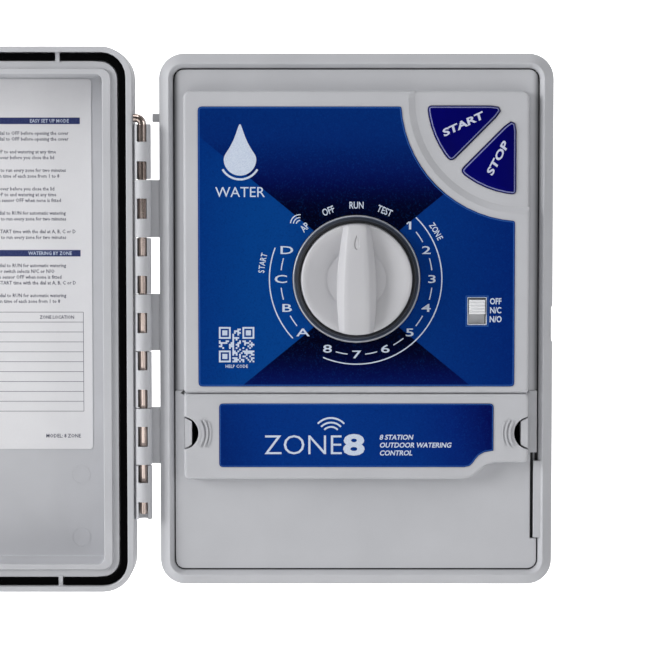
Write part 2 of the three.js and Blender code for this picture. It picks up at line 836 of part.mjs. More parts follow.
/** The lower cover over the wiring space, with the two finger openings. */
function terminalCover() {
  const flange = roundedRectangle(
    [-FACE.flangeHalfWidth, FACE.flangeHalfWidth],
    [-FACE.flangeHalfHeight, COVER.flangeTop],
    0.6,
    FACE.flangeCorner,
  );
  const raised = cappedSlab(coverOutline(0), FACE.flangeBack, FACE.front, {
    inset: FACE.edge,
    segments: 2,
    curve: 4,
  });
  const shell = cut(
    join(slab(flange, FACE.flangeBack, FACE.flangeFront), raised),
    block(
      [-FACE.raisedHalfWidth - GAP, FACE.raisedHalfWidth + GAP],
      [50, 70],
      [COVER.top, 0],
    ),
    slab(coverOutline(FACE.wall), FACE.flangeBack - 1, FACE.front - FACE.skin, { curve: 3 }),
    block(
      [COVER.flangeNotchX, 100],
      [50, 70],
      [KEEPER.bottom - 0.6, COVER.flangeNotchTop],
    ),
  );
  const sides = [-1, 1];
  const openings = sides.map((side) =>
    disc(side * TAB.centreX, TAB.z, TAB.openingRadius, 50, 70, 32).intersect(
      block([side > 0 ? 70 : -83.2, side > 0 ? 83.2 : -70], [50, 70], [-70, -40]),
    ),
  );
  const lugs = sides.flatMap((side) => [-1, 1].map((end) => tabLug(side, end)));
  const ribs = sides.flatMap((side) => [[10.2, 11.2, 36], [13.5, 14.4, 23]].map(([a, b, span]) => {
    const middle = side > 0 ? 180 : 0;
    const x = side * TAB.centreX;
    return arcBar(x, TAB.z, a, b, middle - span, middle + span, FACE.front - 0.5, FACE.front + 0.4);
  }));
  return join(cut(shell, ...openings), ...lugs, ...ribs);
}

/** A lug under the cover that carries one end of a tab's pivot. */
function tabLug(side, end) {
  const x = side * TAB.pivotX;
  const near = TAB.z + end * 8.6;
  const far = TAB.z + end * 11;
  const range = [Math.min(near, far), Math.max(near, far)];
  const left = side > 0 ? 78.6 : -83;
  return cut(
    block([left, left + 4.4], [47, FACE.flangeFront], range),
    upright(x, TAB.pivotFront, TAB.pinRadius + GAP, TAB.z - 20, TAB.z + 20, 16),
  );
}

/** A release tab that tips inwards on its pivot stubs. */
function releaseTab(side) {
  const x = side * TAB.pivotX;
  const range = side > 0 ? [TAB.inner, TAB.outer] : [-TAB.outer, -TAB.inner];
  const blade = disc(side * TAB.centreX, TAB.z, TAB.radius, 48, 65.8, 28).intersect(
    block(range, [48, 65.8], [-70, -40]),
  );
  return join(blade, upright(x, TAB.pivotFront, TAB.pinRadius, TAB.z - 10.6, TAB.z + 10.6, 14));
}

/** The printed sheet on the cover. */
function coverLabel() {
  const { halfWidth, top, bottom, stepX, stepZ } = COVER_LABEL;
  const outline = new THREE.Shape();
  outline.moveTo(-halfWidth + 2, top);
  outline.lineTo(halfWidth - 2, top);
  outline.quadraticCurveTo(halfWidth, top, halfWidth, top - 2);
  outline.lineTo(halfWidth, stepZ);
  outline.bezierCurveTo(halfWidth - 11, stepZ - 0.5, stepX + 6.5, bottom, stepX, bottom);
  outline.lineTo(-halfWidth + 2, bottom);
  outline.quadraticCurveTo(-halfWidth, bottom, -halfWidth, bottom + 2);
  outline.lineTo(-halfWidth, top - 2);
  outline.quadraticCurveTo(-halfWidth, top, -halfWidth + 2, top);
  return slab(outline, FACE.front, FACE.front + LABEL.thickness, { curve: 6 });
}

function coverAssembly() {
  const group = new THREE.Group();
  group.add(
    piece('terminal_cover', terminalCover(), PANEL_PLASTIC),
    piece('cover_label', coverLabel(), BLUE_PRINT),
    piece('release_tab_left', releaseTab(-1), PANEL_PLASTIC),
    piece('release_tab_right', releaseTab(1), PANEL_PLASTIC),
  );
  return group;
}

// ---------------------------------------------------------------------- lid

/** The lid's shell as it is when shut: skin, lip, gasket groove and hinge knuckles. */
function lidShell() {
  const outer = frameOutline(LID.halfWidth, LID.halfHeight, LID.corner);
  const grooveOuter = frameOutline(LID.grooveOuterX, LID.grooveOuterZ, LID.corner - 3);
  const grooveInner = frameOutline(LID.grooveInnerX, LID.grooveInnerZ, 8.5);
  const ridgeOuter = frameOutline(LID.ridgeOuterX, LID.ridgeOuterZ, 4.7);
  const ridgeInner = frameOutline(LID.ridgeInnerX, LID.ridgeInnerZ, 3);
  const body = cappedSlab(outer, LID.lipBack, LID.front, {
    inset: LID.shoulder,
    depth: LID.shoulderDepth,
    segments: 3,
    curve: 4,
  });
  const groove = cut(
    slab(grooveOuter, LID.lipBack - 1, LID.grooveFloor),
    slab(grooveInner, LID.lipBack - 2, LID.front),
  );
  const shelf = cut(
    slab(grooveInner, LID.lipBack - 1, LID.shelfBack),
    slab(ridgeOuter, LID.lipBack - 2, LID.front),
  );
  const parting = [-1, 1].map((side) => {
    const z = side * (LID.grooveInnerZ + LID.grooveOuterZ) / 2;
    return block([-LID.groovePartX - 1, -LID.groovePartX + 1], [62.4, 66], [z - 2.6, z + 2.6]);
  });
  const shell = cut(
    body,
    groove,
    shelf,
    slab(ridgeOuter, LID.lipBack - 1, LID.ridgeBack),
    slab(ridgeInner, LID.lipBack - 1, LID.floor, { curve: 2 }),
  );
  const catchBlock = block([94.1, 96.5], [59.2, 61.6], [-6.2, 4.1]);
  const pinStop = block([-97.8, -96], [58.3, 60], [95, 99.4]);
  return join(shell, ...parting, catchBlock, pinStop, ...LID_KNUCKLES.map(lidKnuckle));
}

/** One knuckle of the lid: a channel round the pin with a band across its middle. */
function lidKnuckle([top, bottom]) {
  const middle = (top + bottom) / 2;
  const axis = HINGE.x;
  const barrel = upright(axis, HINGE.front, HINGE.barrel, bottom, top);
  const web = block([axis, -97.5], [HINGE.front, HINGE.front + HINGE.barrel], [bottom, top]);
  const window = [axis - HINGE.windowHalf, axis + HINGE.windowHalf];
  const back = [HINGE.front - 6, HINGE.front];
  return cut(
    join(barrel, web),
    upright(axis, HINGE.front, HINGE.bore, bottom - 1, top + 1, 16),
    block(window, back, [bottom - 1, middle - LID_BAND / 2]),
    block(window, back, [middle + LID_BAND / 2, top + 1]),
  );
}

/** One length of the foam strip in the groove; the groove's two bridges part it in two. */
function lidGasket(side) {
  const outer = frameOutline(LID.grooveOuterX - 0.4, LID.grooveOuterZ - 0.4, LID.corner - 3.4);
  const inner = frameOutline(LID.grooveInnerX + 0.4, LID.grooveInnerZ + 0.4, 8.9);
  const edge = -LID.groovePartX + side * 1.4;
  const range = side > 0 ? [edge, 200] : [-200, edge];
  const whole = cut(
    slab(outer, CASE.depth, LID.grooveFloor - 0.05),
    slab(inner, CASE.depth - 1, LID.grooveFloor + 1),
  );
  return whole.intersect(block(range, [50, 80], [-200, 200]));
}

/** The printed instruction sheet on the lid's inner face. */
function lidLabel() {
  const outline = roundedRectangle(
    [-LID_LABEL.halfWidth, LID_LABEL.halfWidth],
    [LID_LABEL.bottom, LID_LABEL.top],
    1.5,
  );
  return slab(outline, LID.floor - LID_LABEL.thickness, LID.floor);
}

/** The steel hinge pin, bent over at the top. */
function hingePin() {
  const { top, bottom, legEnd, bend } = PIN;
  const section = new THREE.Shape().absarc(0, 0, HINGE.pin, 0, 2 * Math.PI);
  const elbow = new THREE.QuadraticBezierCurve3(
    new THREE.Vector3(HINGE.x, -HINGE.front, top - bend),
    new THREE.Vector3(HINGE.x, -HINGE.front, top),
    new THREE.Vector3(HINGE.x + bend, -HINGE.front, top),
  );
  const corner = new THREE.ExtrudeGeometry(section, {
    extrudePath: elbow,
    steps: 6,
    curveSegments: 6,
    bevelEnabled: false,
  });
  const leg = new THREE.CylinderGeometry(HINGE.pin, HINGE.pin, legEnd - HINGE.x - bend + 0.2, 12);
  leg.rotateZ(Math.PI / 2);
  leg.translate((HINGE.x + bend - 0.2 + legEnd) / 2, -HINGE.front, top);
  const tip = new THREE.CylinderGeometry(HINGE.pin, 0.7, 2, 12);
  tip.rotateX(Math.PI / 2);
  tip.translate(HINGE.x, -HINGE.front, bottom + 1);
  return join(
    upright(HINGE.x, HINGE.front, HINGE.pin, bottom + 1.9, top - bend + 0.1, 12),
    solid(corner),
    solid(leg),
    solid(tip),
  );
}

/** The lid, modelled shut and then swung half a turn open about the hinge pin. */
function lidAssembly() {
  const shut = new THREE.Group();
  shut.position.set(-HINGE.x, HINGE.front, 0);
  shut.add(
    piece('lid_shell', lidShell(), PLASTIC),
    piece('gasket_long', lidGasket(1), FOAM),
    piece('gasket_short', lidGasket(-1), FOAM),
    piece('lid_label', lidLabel(), PAPER),
    piece('hinge_pin', hingePin(), STEEL),
  );
  const swung = new THREE.Group();
  swung.position.set(HINGE.x, -HINGE.front, 0);
  swung.rotation.z = Math.PI;
  swung.add(shut);
  return swung;
}

// --------------------------------------------------------------- controller

const controller = new THREE.Group();
controller.add(caseAssembly(), panelAssembly(), coverAssembly(), lidAssembly());

export default controller;
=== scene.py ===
"""Looks for a wall-mounted irrigation controller with its lid swung open.

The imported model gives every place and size. Each sub-assembly is a class that
refines or rebuilds its pieces and dresses them. Shapes are made in millimetres
with X to the right, Z up and a front distance measured forward from the wall,
and they are brought to metres when a piece is finished.
"""

import logging
import math
import random
from dataclasses import dataclass
from enum import Enum

import bmesh
import bpy
from mathutils import Matrix, Vector


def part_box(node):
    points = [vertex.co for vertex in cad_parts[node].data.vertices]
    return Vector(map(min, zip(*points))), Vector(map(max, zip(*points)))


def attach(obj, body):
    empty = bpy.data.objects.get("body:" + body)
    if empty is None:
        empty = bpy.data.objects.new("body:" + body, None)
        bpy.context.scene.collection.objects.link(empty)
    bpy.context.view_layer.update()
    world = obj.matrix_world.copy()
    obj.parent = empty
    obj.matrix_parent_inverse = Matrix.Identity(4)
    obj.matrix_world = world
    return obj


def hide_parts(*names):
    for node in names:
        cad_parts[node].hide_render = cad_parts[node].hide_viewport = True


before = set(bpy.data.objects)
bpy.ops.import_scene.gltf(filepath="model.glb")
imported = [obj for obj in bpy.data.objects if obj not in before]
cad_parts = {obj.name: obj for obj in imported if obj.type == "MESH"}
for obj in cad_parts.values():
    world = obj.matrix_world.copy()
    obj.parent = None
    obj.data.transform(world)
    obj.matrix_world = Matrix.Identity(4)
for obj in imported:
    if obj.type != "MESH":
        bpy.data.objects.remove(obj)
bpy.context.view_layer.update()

log = logging.getLogger("controller")

MM = 0.001
TO_METRES = Matrix.Scale(MM, 4)


class Body(Enum):
    """The moving bodies that a piece may ride on."""

    CASE = "case"
    LID = "lid"
    DIAL = "dial"
    START = "start_key"
    STOP = "stop_key"
    SLIDER = "slider"
    COVER = "cover"
    TAB_LEFT = "tab_left"
    TAB_RIGHT = "tab_right"


class Slot(Enum):
    """The material slots that the record names."""

    CASE = "case_plastic"
    PANEL = "panel_plastic"
    NAVY = "navy_plastic"
    WHITE = "white_plastic"
    FILM = "label_film"
    PAPER = "paper_label"
    BLACK = "black_plastic"
    FOAM = "foam"
    PIN = "pin_steel"


# ------------------------------------------------------------------- shading


def tint(red: int, green: int, blue: int) -> tuple[float, float, float, float]:
    """A colour given in display steps of 0 to 255, as the light that it stands for.

    Args:
        red: The red step.
        green: The green step.
        blue: The blue step.

    Returns:
        The linear colour with an alpha of 1.
    """
    steps = (step / 255 for step in (red, green, blue))
    light = (s / 12.92 if s <= 0.04045 else ((s + 0.055) / 1.055) ** 2.4 for s in steps)
    return (*light, 1.0)


class Signal:
    """A number that varies over a surface, which Python's operators turn into Math nodes."""

    def __init__(self, shader: "Shader", socket: bpy.types.NodeSocket) -> None:
        """Wraps a socket of the shader's tree.

        Args:
            shader: The shader that owns the socket.
            socket: The output that gives the number.
        """
        self.shader = shader
        self.socket = socket

    def math(self, operation: str, *values: "Signal | float", clamp: bool = False) -> "Signal":
        """One Math node.

        Args:
            operation: The node's operation.
            *values: Its inputs, in order.
            clamp: Whether the result stays between 0 and 1.

        Returns:
            The result.
        """
        settings = {"operation": operation, "use_clamp": clamp}
        node = self.shader.node("ShaderNodeMath", settings, dict(enumerate(values)))
        return Signal(self.shader, node.outputs[0])

    def __add__(self, other: "Signal | float") -> "Signal":
        """The sum."""
        return self.math("ADD", self, other)

    def __radd__(self, other: float) -> "Signal":
        """The sum, with the number first."""
        return self.math("ADD", other, self)

    def __sub__(self, other: "Signal | float") -> "Signal":
        """The difference."""
        return self.math("SUBTRACT", self, other)

    def __rsub__(self, other: float) -> "Signal":
        """The difference, with the number first."""
        return self.math("SUBTRACT", other, self)

    def __mul__(self, other: "Signal | float") -> "Signal":
        """The product."""
        return self.math("MULTIPLY", self, other)

    def __rmul__(self, other: float) -> "Signal":
        """The product, with the number first."""
        return self.math("MULTIPLY", other, self)

    def __truediv__(self, other: "Signal | float") -> "Signal":
        """The quotient."""
        return self.math("DIVIDE", self, other)

    def __abs__(self) -> "Signal":
        """The size without its sign."""
        return self.math("ABSOLUTE", self)

    def wave(self) -> "Signal":
        """The sine."""
        return self.math("SINE", self)

    def root(self) -> "Signal":
        """The square root."""
        return self.math("SQRT", self)

    def ramp(self, low: float, high: float) -> "Signal":
        """A soft step.

        Args:
            low: Where the step starts, at 0.
            high: Where it ends, at 1.

        Returns:
            The step, between 0 and 1.
        """
        settings = {"interpolation_type": "SMOOTHSTEP", "clamp": True}
        inputs = {"Value": self, "From Min": low, "From Max": high}
        node = self.shader.node("ShaderNodeMapRange", settings, inputs)
        return Signal(self.shader, node.outputs["Result"])


class Shader:
    """A material's node tree while it is being built."""

    def __init__(self, name: str) -> None:
        """Starts an empty material.

        Args:
            name: The material's name.
        """
        self.material = bpy.data.materials.new(name)
        self.material.use_nodes = True
        self.tree = self.material.node_tree
        self.tree.nodes.clear()
        self.place = self.node("ShaderNodeTexCoord", {}, {}).outputs["Object"]

    def node(self, kind: str, settings: dict, inputs: dict) -> bpy.types.Node:
        """Adds a node.

        Args:
            kind: The node's type.
            settings: Its properties; "stops" gives a colour ramp's positions and colours.
            inputs: Values or links by socket name or number.

        Returns:
            The new node.
        """
        made = self.tree.nodes.new(kind)
        for name, value in settings.items():
            if name == "stops":
                self._set_stops(made.color_ramp, value)
            else:
                setattr(made, name, value)
        for key, value in inputs.items():
            if isinstance(value, Signal):
                self.tree.links.new(value.socket, made.inputs[key])
            elif isinstance(value, bpy.types.NodeSocket):
                self.tree.links.new(value, made.inputs[key])
            else:
                made.inputs[key].default_value = value
        return made

    @staticmethod
    def _set_stops(ramp: bpy.types.ColorRamp, stops: list) -> None:
        """Gives a colour ramp its stops.

        Args:
            ramp: The ramp.
            stops: Pairs of position and colour, in order.
        """
        while len(ramp.elements) < len(stops):
            ramp.elements.new(1.0)
        for element, (position, colour) in zip(ramp.elements, stops):
            element.position = position
            element.color = colour

    def axes(self) -> tuple[Signal, Signal, Signal]:
        """The place on the piece, in millimetres, as X, Y and Z."""
        node = self.node("ShaderNodeSeparateXYZ", {}, {"Vector": self.place})
        x, y, z = (Signal(self, output) / MM for output in node.outputs)
        return x, y, z

    def noise(self, size: float, detail: float = 2.0, rough: float = 0.5) -> Signal:
        """Cloudy unevenness.

        Args:
            size: The size of a patch in millimetres.
            detail: How many finer layers it has.
            rough: How strong they are.

        Returns:
            The unevenness, around one half.
        """
        inputs = {"Vector": self.place, "Scale": 1 / (size * MM), "Detail": detail, "Roughness": rough}
        return Signal(self, self.node("ShaderNodeTexNoise", {}, inputs).outputs["Fac"])

    def streaks(self, across: float, along: float, axis: int) -> Signal:
        """Unevenness drawn out along one axis.

        Args:
            across: The width of a streak in millimetres.
            along: Its length in millimetres.
            axis: The axis that it runs along.

        Returns:
            The streaks, around one half.
        """
        stretch = [1 / (across * MM)] * 3
        stretch[axis] = 1 / (along * MM)
        mapped = self.node("ShaderNodeMapping", {}, {"Vector": self.place, "Scale": stretch})
        inputs = {"Vector": mapped.outputs[0], "Scale": 1.0, "Detail": 3.0}
        return Signal(self, self.node("ShaderNodeTexNoise", {}, inputs).outputs["Fac"])

    def cells(self, size: float) -> Signal:
        """Distance to the nearest of many scattered points.

        Args:
            size: The spacing of the points in millimetres.

        Returns:
            The distance, in spacings.
        """
        inputs = {"Vector": self.place, "Scale": 1 / (size * MM)}
        return Signal(self, self.node("ShaderNodeTexVoronoi", {}, inputs).outputs["Distance"])

    def blend(self, amount: Signal, first: object, second: object) -> bpy.types.NodeSocket:
        """Two colours mixed.

        Args:
            amount: 0 for the first colour, 1 for the second.
            first: A colour or a link.
            second: A colour or a link.

        Returns:
            The mixed colour.
        """
        node = self.node("ShaderNodeMix", {"data_type": "RGBA"}, {0: amount, 6: first, 7: second})
        return node.outputs[2]

    def colours(self, value: Signal, low: float, high: float, stops: list) -> bpy.types.NodeSocket:
        """Colours laid out along a value.

        Args:
            value: The value.
            low: The value at the first end of the stops.
            high: The value at the other end.
            stops: Pairs of value and colour, in order.

        Returns:
            The colour.
        """
        placed = [((at - low) / (high - low), colour) for at, colour in stops]
        factor = (value - low) / (high - low)
        return self.node("ShaderNodeValToRGB", {"stops": placed}, {"Fac": factor}).outputs["Color"]

    def relief(self, height: Signal, depth: float, below: object = None) -> bpy.types.NodeSocket:
        """Fine relief.

        Args:
            height: The height, between 0 and 1.
            depth: The height of 1, in millimetres.
            below: The relief that this one lies on, if any.

        Returns:
            The normal.
        """
        inputs = {"Height": height, "Distance": depth * MM, "Strength": 1.0}
        if below is not None:
            inputs["Normal"] = below
        return self.node("ShaderNodeBump", {}, inputs).outputs["Normal"]

    def finish(
        self, colour: object, rough: object, normal: object = None, **fixed: object
    ) -> bpy.types.Material:
        """Ends the material with its surface.

        Args:
            colour: The base colour or a link.
            rough: The roughness or a link.
            normal: The normal, if the surface has relief.
            **fixed: Settings of the surface that are the same all over, with _ for a space.

        Returns:
            The material.
        """
        inputs = {"Base Color": colour, "Roughness": rough}
        if normal is not None:
            inputs["Normal"] = normal
        inputs.update({name.replace("_", " "): value for name, value in fixed.items()})
        surface = self.node("ShaderNodeBsdfPrincipled", {}, inputs)
        self.node("ShaderNodeOutputMaterial", {}, {"Surface": surface.outputs[0]})
        return self.material

    def film(self, colour: bpy.types.NodeSocket) -> bpy.types.Material:
        """Ends the material as blue printed film, with speckled ink on a slightly wavy sheet.

        Args:
            colour: The ink's colour.

        Returns:
            The material.
        """
        speckle = self.noise(0.7, 3, 0.7)
        colour = self.blend(speckle.ramp(0.5, 0.8) * 0.3, colour, tint(8, 74, 150))
        colour = self.blend((1 - speckle).ramp(0.5, 0.8) * 0.42, colour, tint(0, 12, 66))
        normal = self.relief(self.noise(0.35, 2), 0.004, self.relief(self.noise(26, 1), 0.05))
        return self.finish(colour, 0.34 + speckle * 0.1, normal, Specular_IOR_Level=0.03)


# ------------------------------------------------------------------ finishes


@dataclass(frozen=True)
class MouldedPlastic:
    """Injection-moulded plastic with a spark-eroded grain and faint handling marks."""

    name: str
    light: tuple[int, int, int]
    dark: tuple[int, int, int]
    rough: float = 0.46
    grain: float = 0.32
    depth: float = 0.012
    gloss: float = 0.35

    def material(self) -> bpy.types.Material:
        """Builds the finish."""
        shader = Shader(self.name)
        flow = shader.noise(38, 3)
        grain = shader.noise(self.grain, 2, 0.6)
        rubbed = shader.noise(9, 5, 0.65).ramp(0.56, 0.74)
        specks = 1 - shader.cells(2.6).ramp(0.03, 0.07)
        shade = flow * 0.75 + grain * 0.25
        colour = shader.blend(shade.ramp(0.25, 0.75), tint(*self.dark), tint(*self.light))
        dusty = tuple(0.82 * part for part in tint(*self.dark)[:3]) + (1.0,)
        colour = shader.blend(specks * 0.12, colour, dusty)
        colour = self.shade(shader, colour)
        rough = self.rough + grain * 0.12 - rubbed * 0.07
        normal = shader.relief(grain, self.depth, self.form(shader))
        return shader.finish(colour, rough, normal, Specular_IOR_Level=self.gloss)

    def shade(self, shader: Shader, colour: bpy.types.NodeSocket) -> bpy.types.NodeSocket:
        """The colour after any painted shade; plain mouldings have none."""
        return colour

    def form(self, shader: Shader) -> bpy.types.NodeSocket:
        """The slow sink and swell of a moulded face."""
        return shader.relief(shader.noise(14, 2), 0.02)


@dataclass(frozen=True)
class CasePlastic(MouldedPlastic):
    """The case's plastic, with painted shade in the gap round the panel's edge."""

    half_width: float = 88.7
    half_height: float = 121.9
    band: float = 1.9
    pocket_sides: tuple[float, float] = (84.2, 86.0)
    pocket_height: float = -86.0
    pocket_half: float = 22.0

    def shade(self, shader: Shader, colour: bpy.types.NodeSocket) -> bpy.types.NodeSocket:
        """Paints shade onto the narrow ledge behind the gap and the pocket beside the keeper.

        Args:
            shader: The shader.
            colour: The clean colour.

        Returns:
            The colour with its painted shade.
        """
        x, y, z = shader.axes()
        wide, tall = abs(x), abs(z)
        beside = 1 - (wide - self.half_width).ramp(-0.2, 0.0)
        inside = beside * (1 - (tall - self.half_height).ramp(-0.2, 0.0))
        across = (wide - self.half_width + self.band).ramp(-0.1, 0.1)
        along = (tall - self.half_height + self.band).ramp(-0.1, 0.1)
        ring = inside * across.math("MAXIMUM", across, along)
        left, right = self.pocket_sides
        pocket = (x - left).ramp(0, 0.1) * (1 - (x - right).ramp(-0.1, 0))
        pocket = pocket * (1 - abs(z - self.pocket_height).ramp(self.pocket_half, self.pocket_half + 0.5))
        low = 1 - (0 - y).ramp(58.2, 60.6)
        # Painted shade: the ledge in the gap and the pocket beside the keeper go nearly black, as if in
        # shadow.
        painted_shade = ring.math("MAXIMUM", ring, pocket) * low
        return shader.blend(painted_shade * 0.94, colour, tint(12, 13, 15))


@dataclass(frozen=True)
class PanelPlastic(MouldedPlastic):
    """The panel's plastic, with painted shade where its flange dips towards the gap at either side."""

    shoulder: float = 83.6
    reach: float = 4.2
    front: float = 60.6
    shade_strength: float = 0.8

    def shade(self, shader: Shader, colour: bpy.types.NodeSocket) -> bpy.types.NodeSocket:
        """Paints shade onto the flange towards its outer edge.

        Args:
            shader: The shader.
            colour: The clean colour.

        Returns:
            The colour with its painted shade.
        """
        x, y, _ = shader.axes()
        share = (abs(x) - self.shoulder).ramp(0, self.reach)
        low = 1 - (0 - y).ramp(self.front, self.front + 0.6)
        # Painted shade: the flange darkens towards the gap, as if shaded by the rim.
        return shader.blend(share * share * low * self.shade_strength, colour, tint(24, 26, 30))


@dataclass(frozen=True)
class KnobPlastic(MouldedPlastic):
    """The knob's plastic, with the drop-shaped pointer sunk in its grip."""

    tip: float = 42.0
    length: float = 7.4
    fullness: float = 3.6
    sink: float = 0.9

    def form(self, shader: Shader) -> bpy.types.NodeSocket:
        """Sinks the pointer into the moulded face.

        Args:
            shader: The shader.

        Returns:
            The normal.
        """
        x, y, z = shader.axes()
        along = (self.tip - z) / self.length
        share = along.math("MULTIPLY", along, 1.0, clamp=True)
        width = self.fullness * share * (1 - share).root()
        pointer = (width - abs(x)).ramp(0.02, 0.85) * (0 - y).ramp(78.5, 79)
        slow = shader.relief(shader.noise(14, 2), 0.01)
        return shader.relief(1 - pointer, self.sink, slow)


@dataclass(frozen=True)
class DialFilm:
    """The blue printed film round the dial, darker in the sectors above and below it."""

    name: str
    dial: float
    reach: float = 6.3
    slope: float = 0.82

    def material(self) -> bpy.types.Material:
        """Builds the finish."""
        shader = Shader(self.name)
        x, _, z = shader.axes()
        drop = abs(z - self.dial)
        sector = (drop - self.reach - abs(x) * self.slope).ramp(-0.15, 0.35)
        sides = shader.colours(x, -78, 78, [
            (-78, tint(3, 47, 118)),
            (-50, tint(4, 59, 130)),
            (-34, tint(5, 60, 131)),
            (36, tint(4, 47, 118)),
            (78, tint(2, 34, 106)),
        ])
        sides = shader.blend((z - 40).ramp(10, 75) * 0.75, sides, tint(1, 39, 113))
        fan = shader.colours(drop, 30, 84, [
            (30, tint(0, 0, 20)),
            (36, tint(1, 2, 34)),
            (41, tint(2, 6, 52)),
            (46, tint(3, 11, 69)),
            (52, tint(4, 21, 84)),
            (60, tint(3, 31, 96)),
            (68, tint(4, 38, 106)),
            (84, tint(3, 41, 109)),
        ])
        return shader.film(shader.blend(sector, sides, fan))


@dataclass(frozen=True)
class CoverFilm:
    """The blue printed film of the wiring cover, shaded from end to end."""

    name: str

    def material(self) -> bpy.types.Material:
        """Builds the finish."""
        shader = Shader(self.name)
        x, _, z = shader.axes()
        colour = shader.colours(x + z * 0.25, -82, 52, [
            (-82, tint(3, 34, 102)),
            (-58, tint(4, 46, 121)),
            (-20, tint(5, 49, 124)),
            (14, tint(4, 44, 119)),
            (34, tint(4, 34, 109)),
            (52, tint(3, 12, 80)),
        ])
        return shader.film(colour)


@dataclass(frozen=True)
class Ink:
    """Screen-printed ink with an uneven edge to its cover."""

    name: str
    full: tuple[int, int, int]
    thin: tuple[int, int, int]
    rough: float = 0.5

    def material(self) -> bpy.types.Material:
        """Builds the finish."""
        shader = Shader(self.name)
        cover = shader.noise(0.5, 3, 0.6)
        colour = shader.blend(cover.ramp(0.3, 0.7), tint(*self.thin), tint(*self.full))
        normal = shader.relief(cover, 0.003)
        return shader.finish(colour, self.rough + cover * 0.1, normal, Specular_IOR_Level=0.25)


@dataclass(frozen=True)
class DrawnSteel:
    """Bright steel wire or turned steel, with draw lines along one axis and a little stain; the dark
    lines also stand for painted dark reflections running along the axis.
    """

    name: str
    axis: int
    bright: tuple[int, int, int] = (222, 216, 210)
    dull: tuple[int, int, int] = (150, 140, 132)
    rough: float = 0.12
    scoring_and_reflection: float = 0.2
    scoring_and_reflection_tone: tuple[int, int, int] = (78, 62, 54)

    def material(self) -> bpy.types.Material:
        """Builds the finish."""
        shader = Shader(self.name)
        lines = shader.streaks(0.3, 40, self.axis)
        stain = shader.noise(3.2, 4, 0.6)
        colour = shader.blend(stain.ramp(0.5, 0.9) * 0.5, tint(*self.bright), tint(*self.dull))
        # Dark streaks along the axis: partly draw lines, partly painted dark reflections.
        colour = shader.blend(lines.ramp(0.48, 0.6) * self.scoring_and_reflection, colour, tint(*self.scoring_and_reflection_tone))
        normal = shader.relief(lines, 0.004)
        rough = self.rough + lines * 0.1 + stain.ramp(0.5, 0.8) * 0.06
        return shader.finish(colour, rough, normal, Metallic=1.0)


@dataclass(frozen=True)
class GasketFoam:
    """Closed-cell black foam with open cells on its cut face."""

    name: str

    def material(self) -> bpy.types.Material:
        """Builds the finish."""
        shader = Shader(self.name)
        cells = shader.cells(0.55)
        colour = shader.blend(cells.ramp(0.1, 0.6), tint(1, 1, 1), tint(6, 6, 7))
        normal = shader.relief(cells, 0.12)
        rough = 0.9 + shader.noise(2, 2) * 0.1
        return shader.finish(colour, rough, normal, Specular_IOR_Level=0.03)


@dataclass(frozen=True)
class SheetPaper:
    """Matt label paper with fibres."""

    name: str
    light: tuple[int, int, int] = (222, 222, 224)
    dark: tuple[int, int, int] = (214, 214, 217)

    def material(self) -> bpy.types.Material:
        """Builds the finish."""
        shader = Shader(self.name)
        fibre = shader.noise(0.3, 4, 0.7)
        cloud = shader.noise(12, 3)
        mottle = (fibre * 0.7 + cloud * 0.3).ramp(0.2, 0.8)
        colour = shader.blend(mottle, tint(*self.dark), tint(*self.light))
        normal = shader.relief(fibre, 0.006, shader.relief(shader.noise(34, 1), 0.08))
        return shader.finish(colour, 0.6 + fibre * 0.15, normal, Specular_IOR_Level=0.25)


@dataclass(frozen=True)
class CircuitLacquer:
    """Green solder resist over copper tracks."""

    name: str

    def material(self) -> bpy.types.Material:
        """Builds the finish."""
        shader = Shader(self.name)
        x, _, z = shader.axes()
        across = (x * 2.4).wave()
        along = (z * 1.9 + shader.noise(9, 1) * 9).wave()
        tracks = (across * along).ramp(0.25, 0.34)
        colour = shader.blend(tracks, tint(16, 66, 38), tint(30, 96, 56))
        pads = (1 - shader.cells(4.2).ramp(0.12, 0.15)) * 0.9
        colour = shader.blend(pads, colour, tint(176, 170, 150))
        normal = shader.relief(tracks, 0.03)
        return shader.finish(colour, 0.32 + shader.noise(3, 2) * 0.15, normal, Coat_Weight=0.4)


@dataclass(frozen=True)
class Winding:
    """Layers wound or stacked along one axis, such as a coil's tape or a core's sheets."""

    name: str
    axis: int
    pitch: float
    light: tuple[int, int, int]
    dark: tuple[int, int, int]
    metal: float = 0.0

    def material(self) -> bpy.types.Material:
        """Builds the finish."""
        shader = Shader(self.name)
        place = shader.axes()[self.axis]
        layers = (place * (2 * math.pi / self.pitch)).wave() * 0.5 + 0.5
        wear = shader.noise(4, 4, 0.6)
        mottle = (layers * 0.7 + wear * 0.3).ramp(0.15, 0.8)
        colour = shader.blend(mottle, tint(*self.dark), tint(*self.light))
        normal = shader.relief(layers, 0.08)
        return shader.finish(colour, 0.4 + wear * 0.25, normal, Metallic=self.metal)


@dataclass(frozen=True)
class ClearTube:
    """A fuse's glass tube, faintly tinted and not quite clean."""

    name: str

    def material(self) -> bpy.types.Material:
        """Builds the finish."""
        shader = Shader(self.name)
        smear = shader.noise(1.4, 3)
        colour = shader.blend(smear, tint(225, 235, 232), tint(246, 250, 250))
        normal = shader.relief(smear, 0.004)
        return shader.finish(colour, 0.04 + smear * 0.12, normal, Transmission_Weight=0.85)


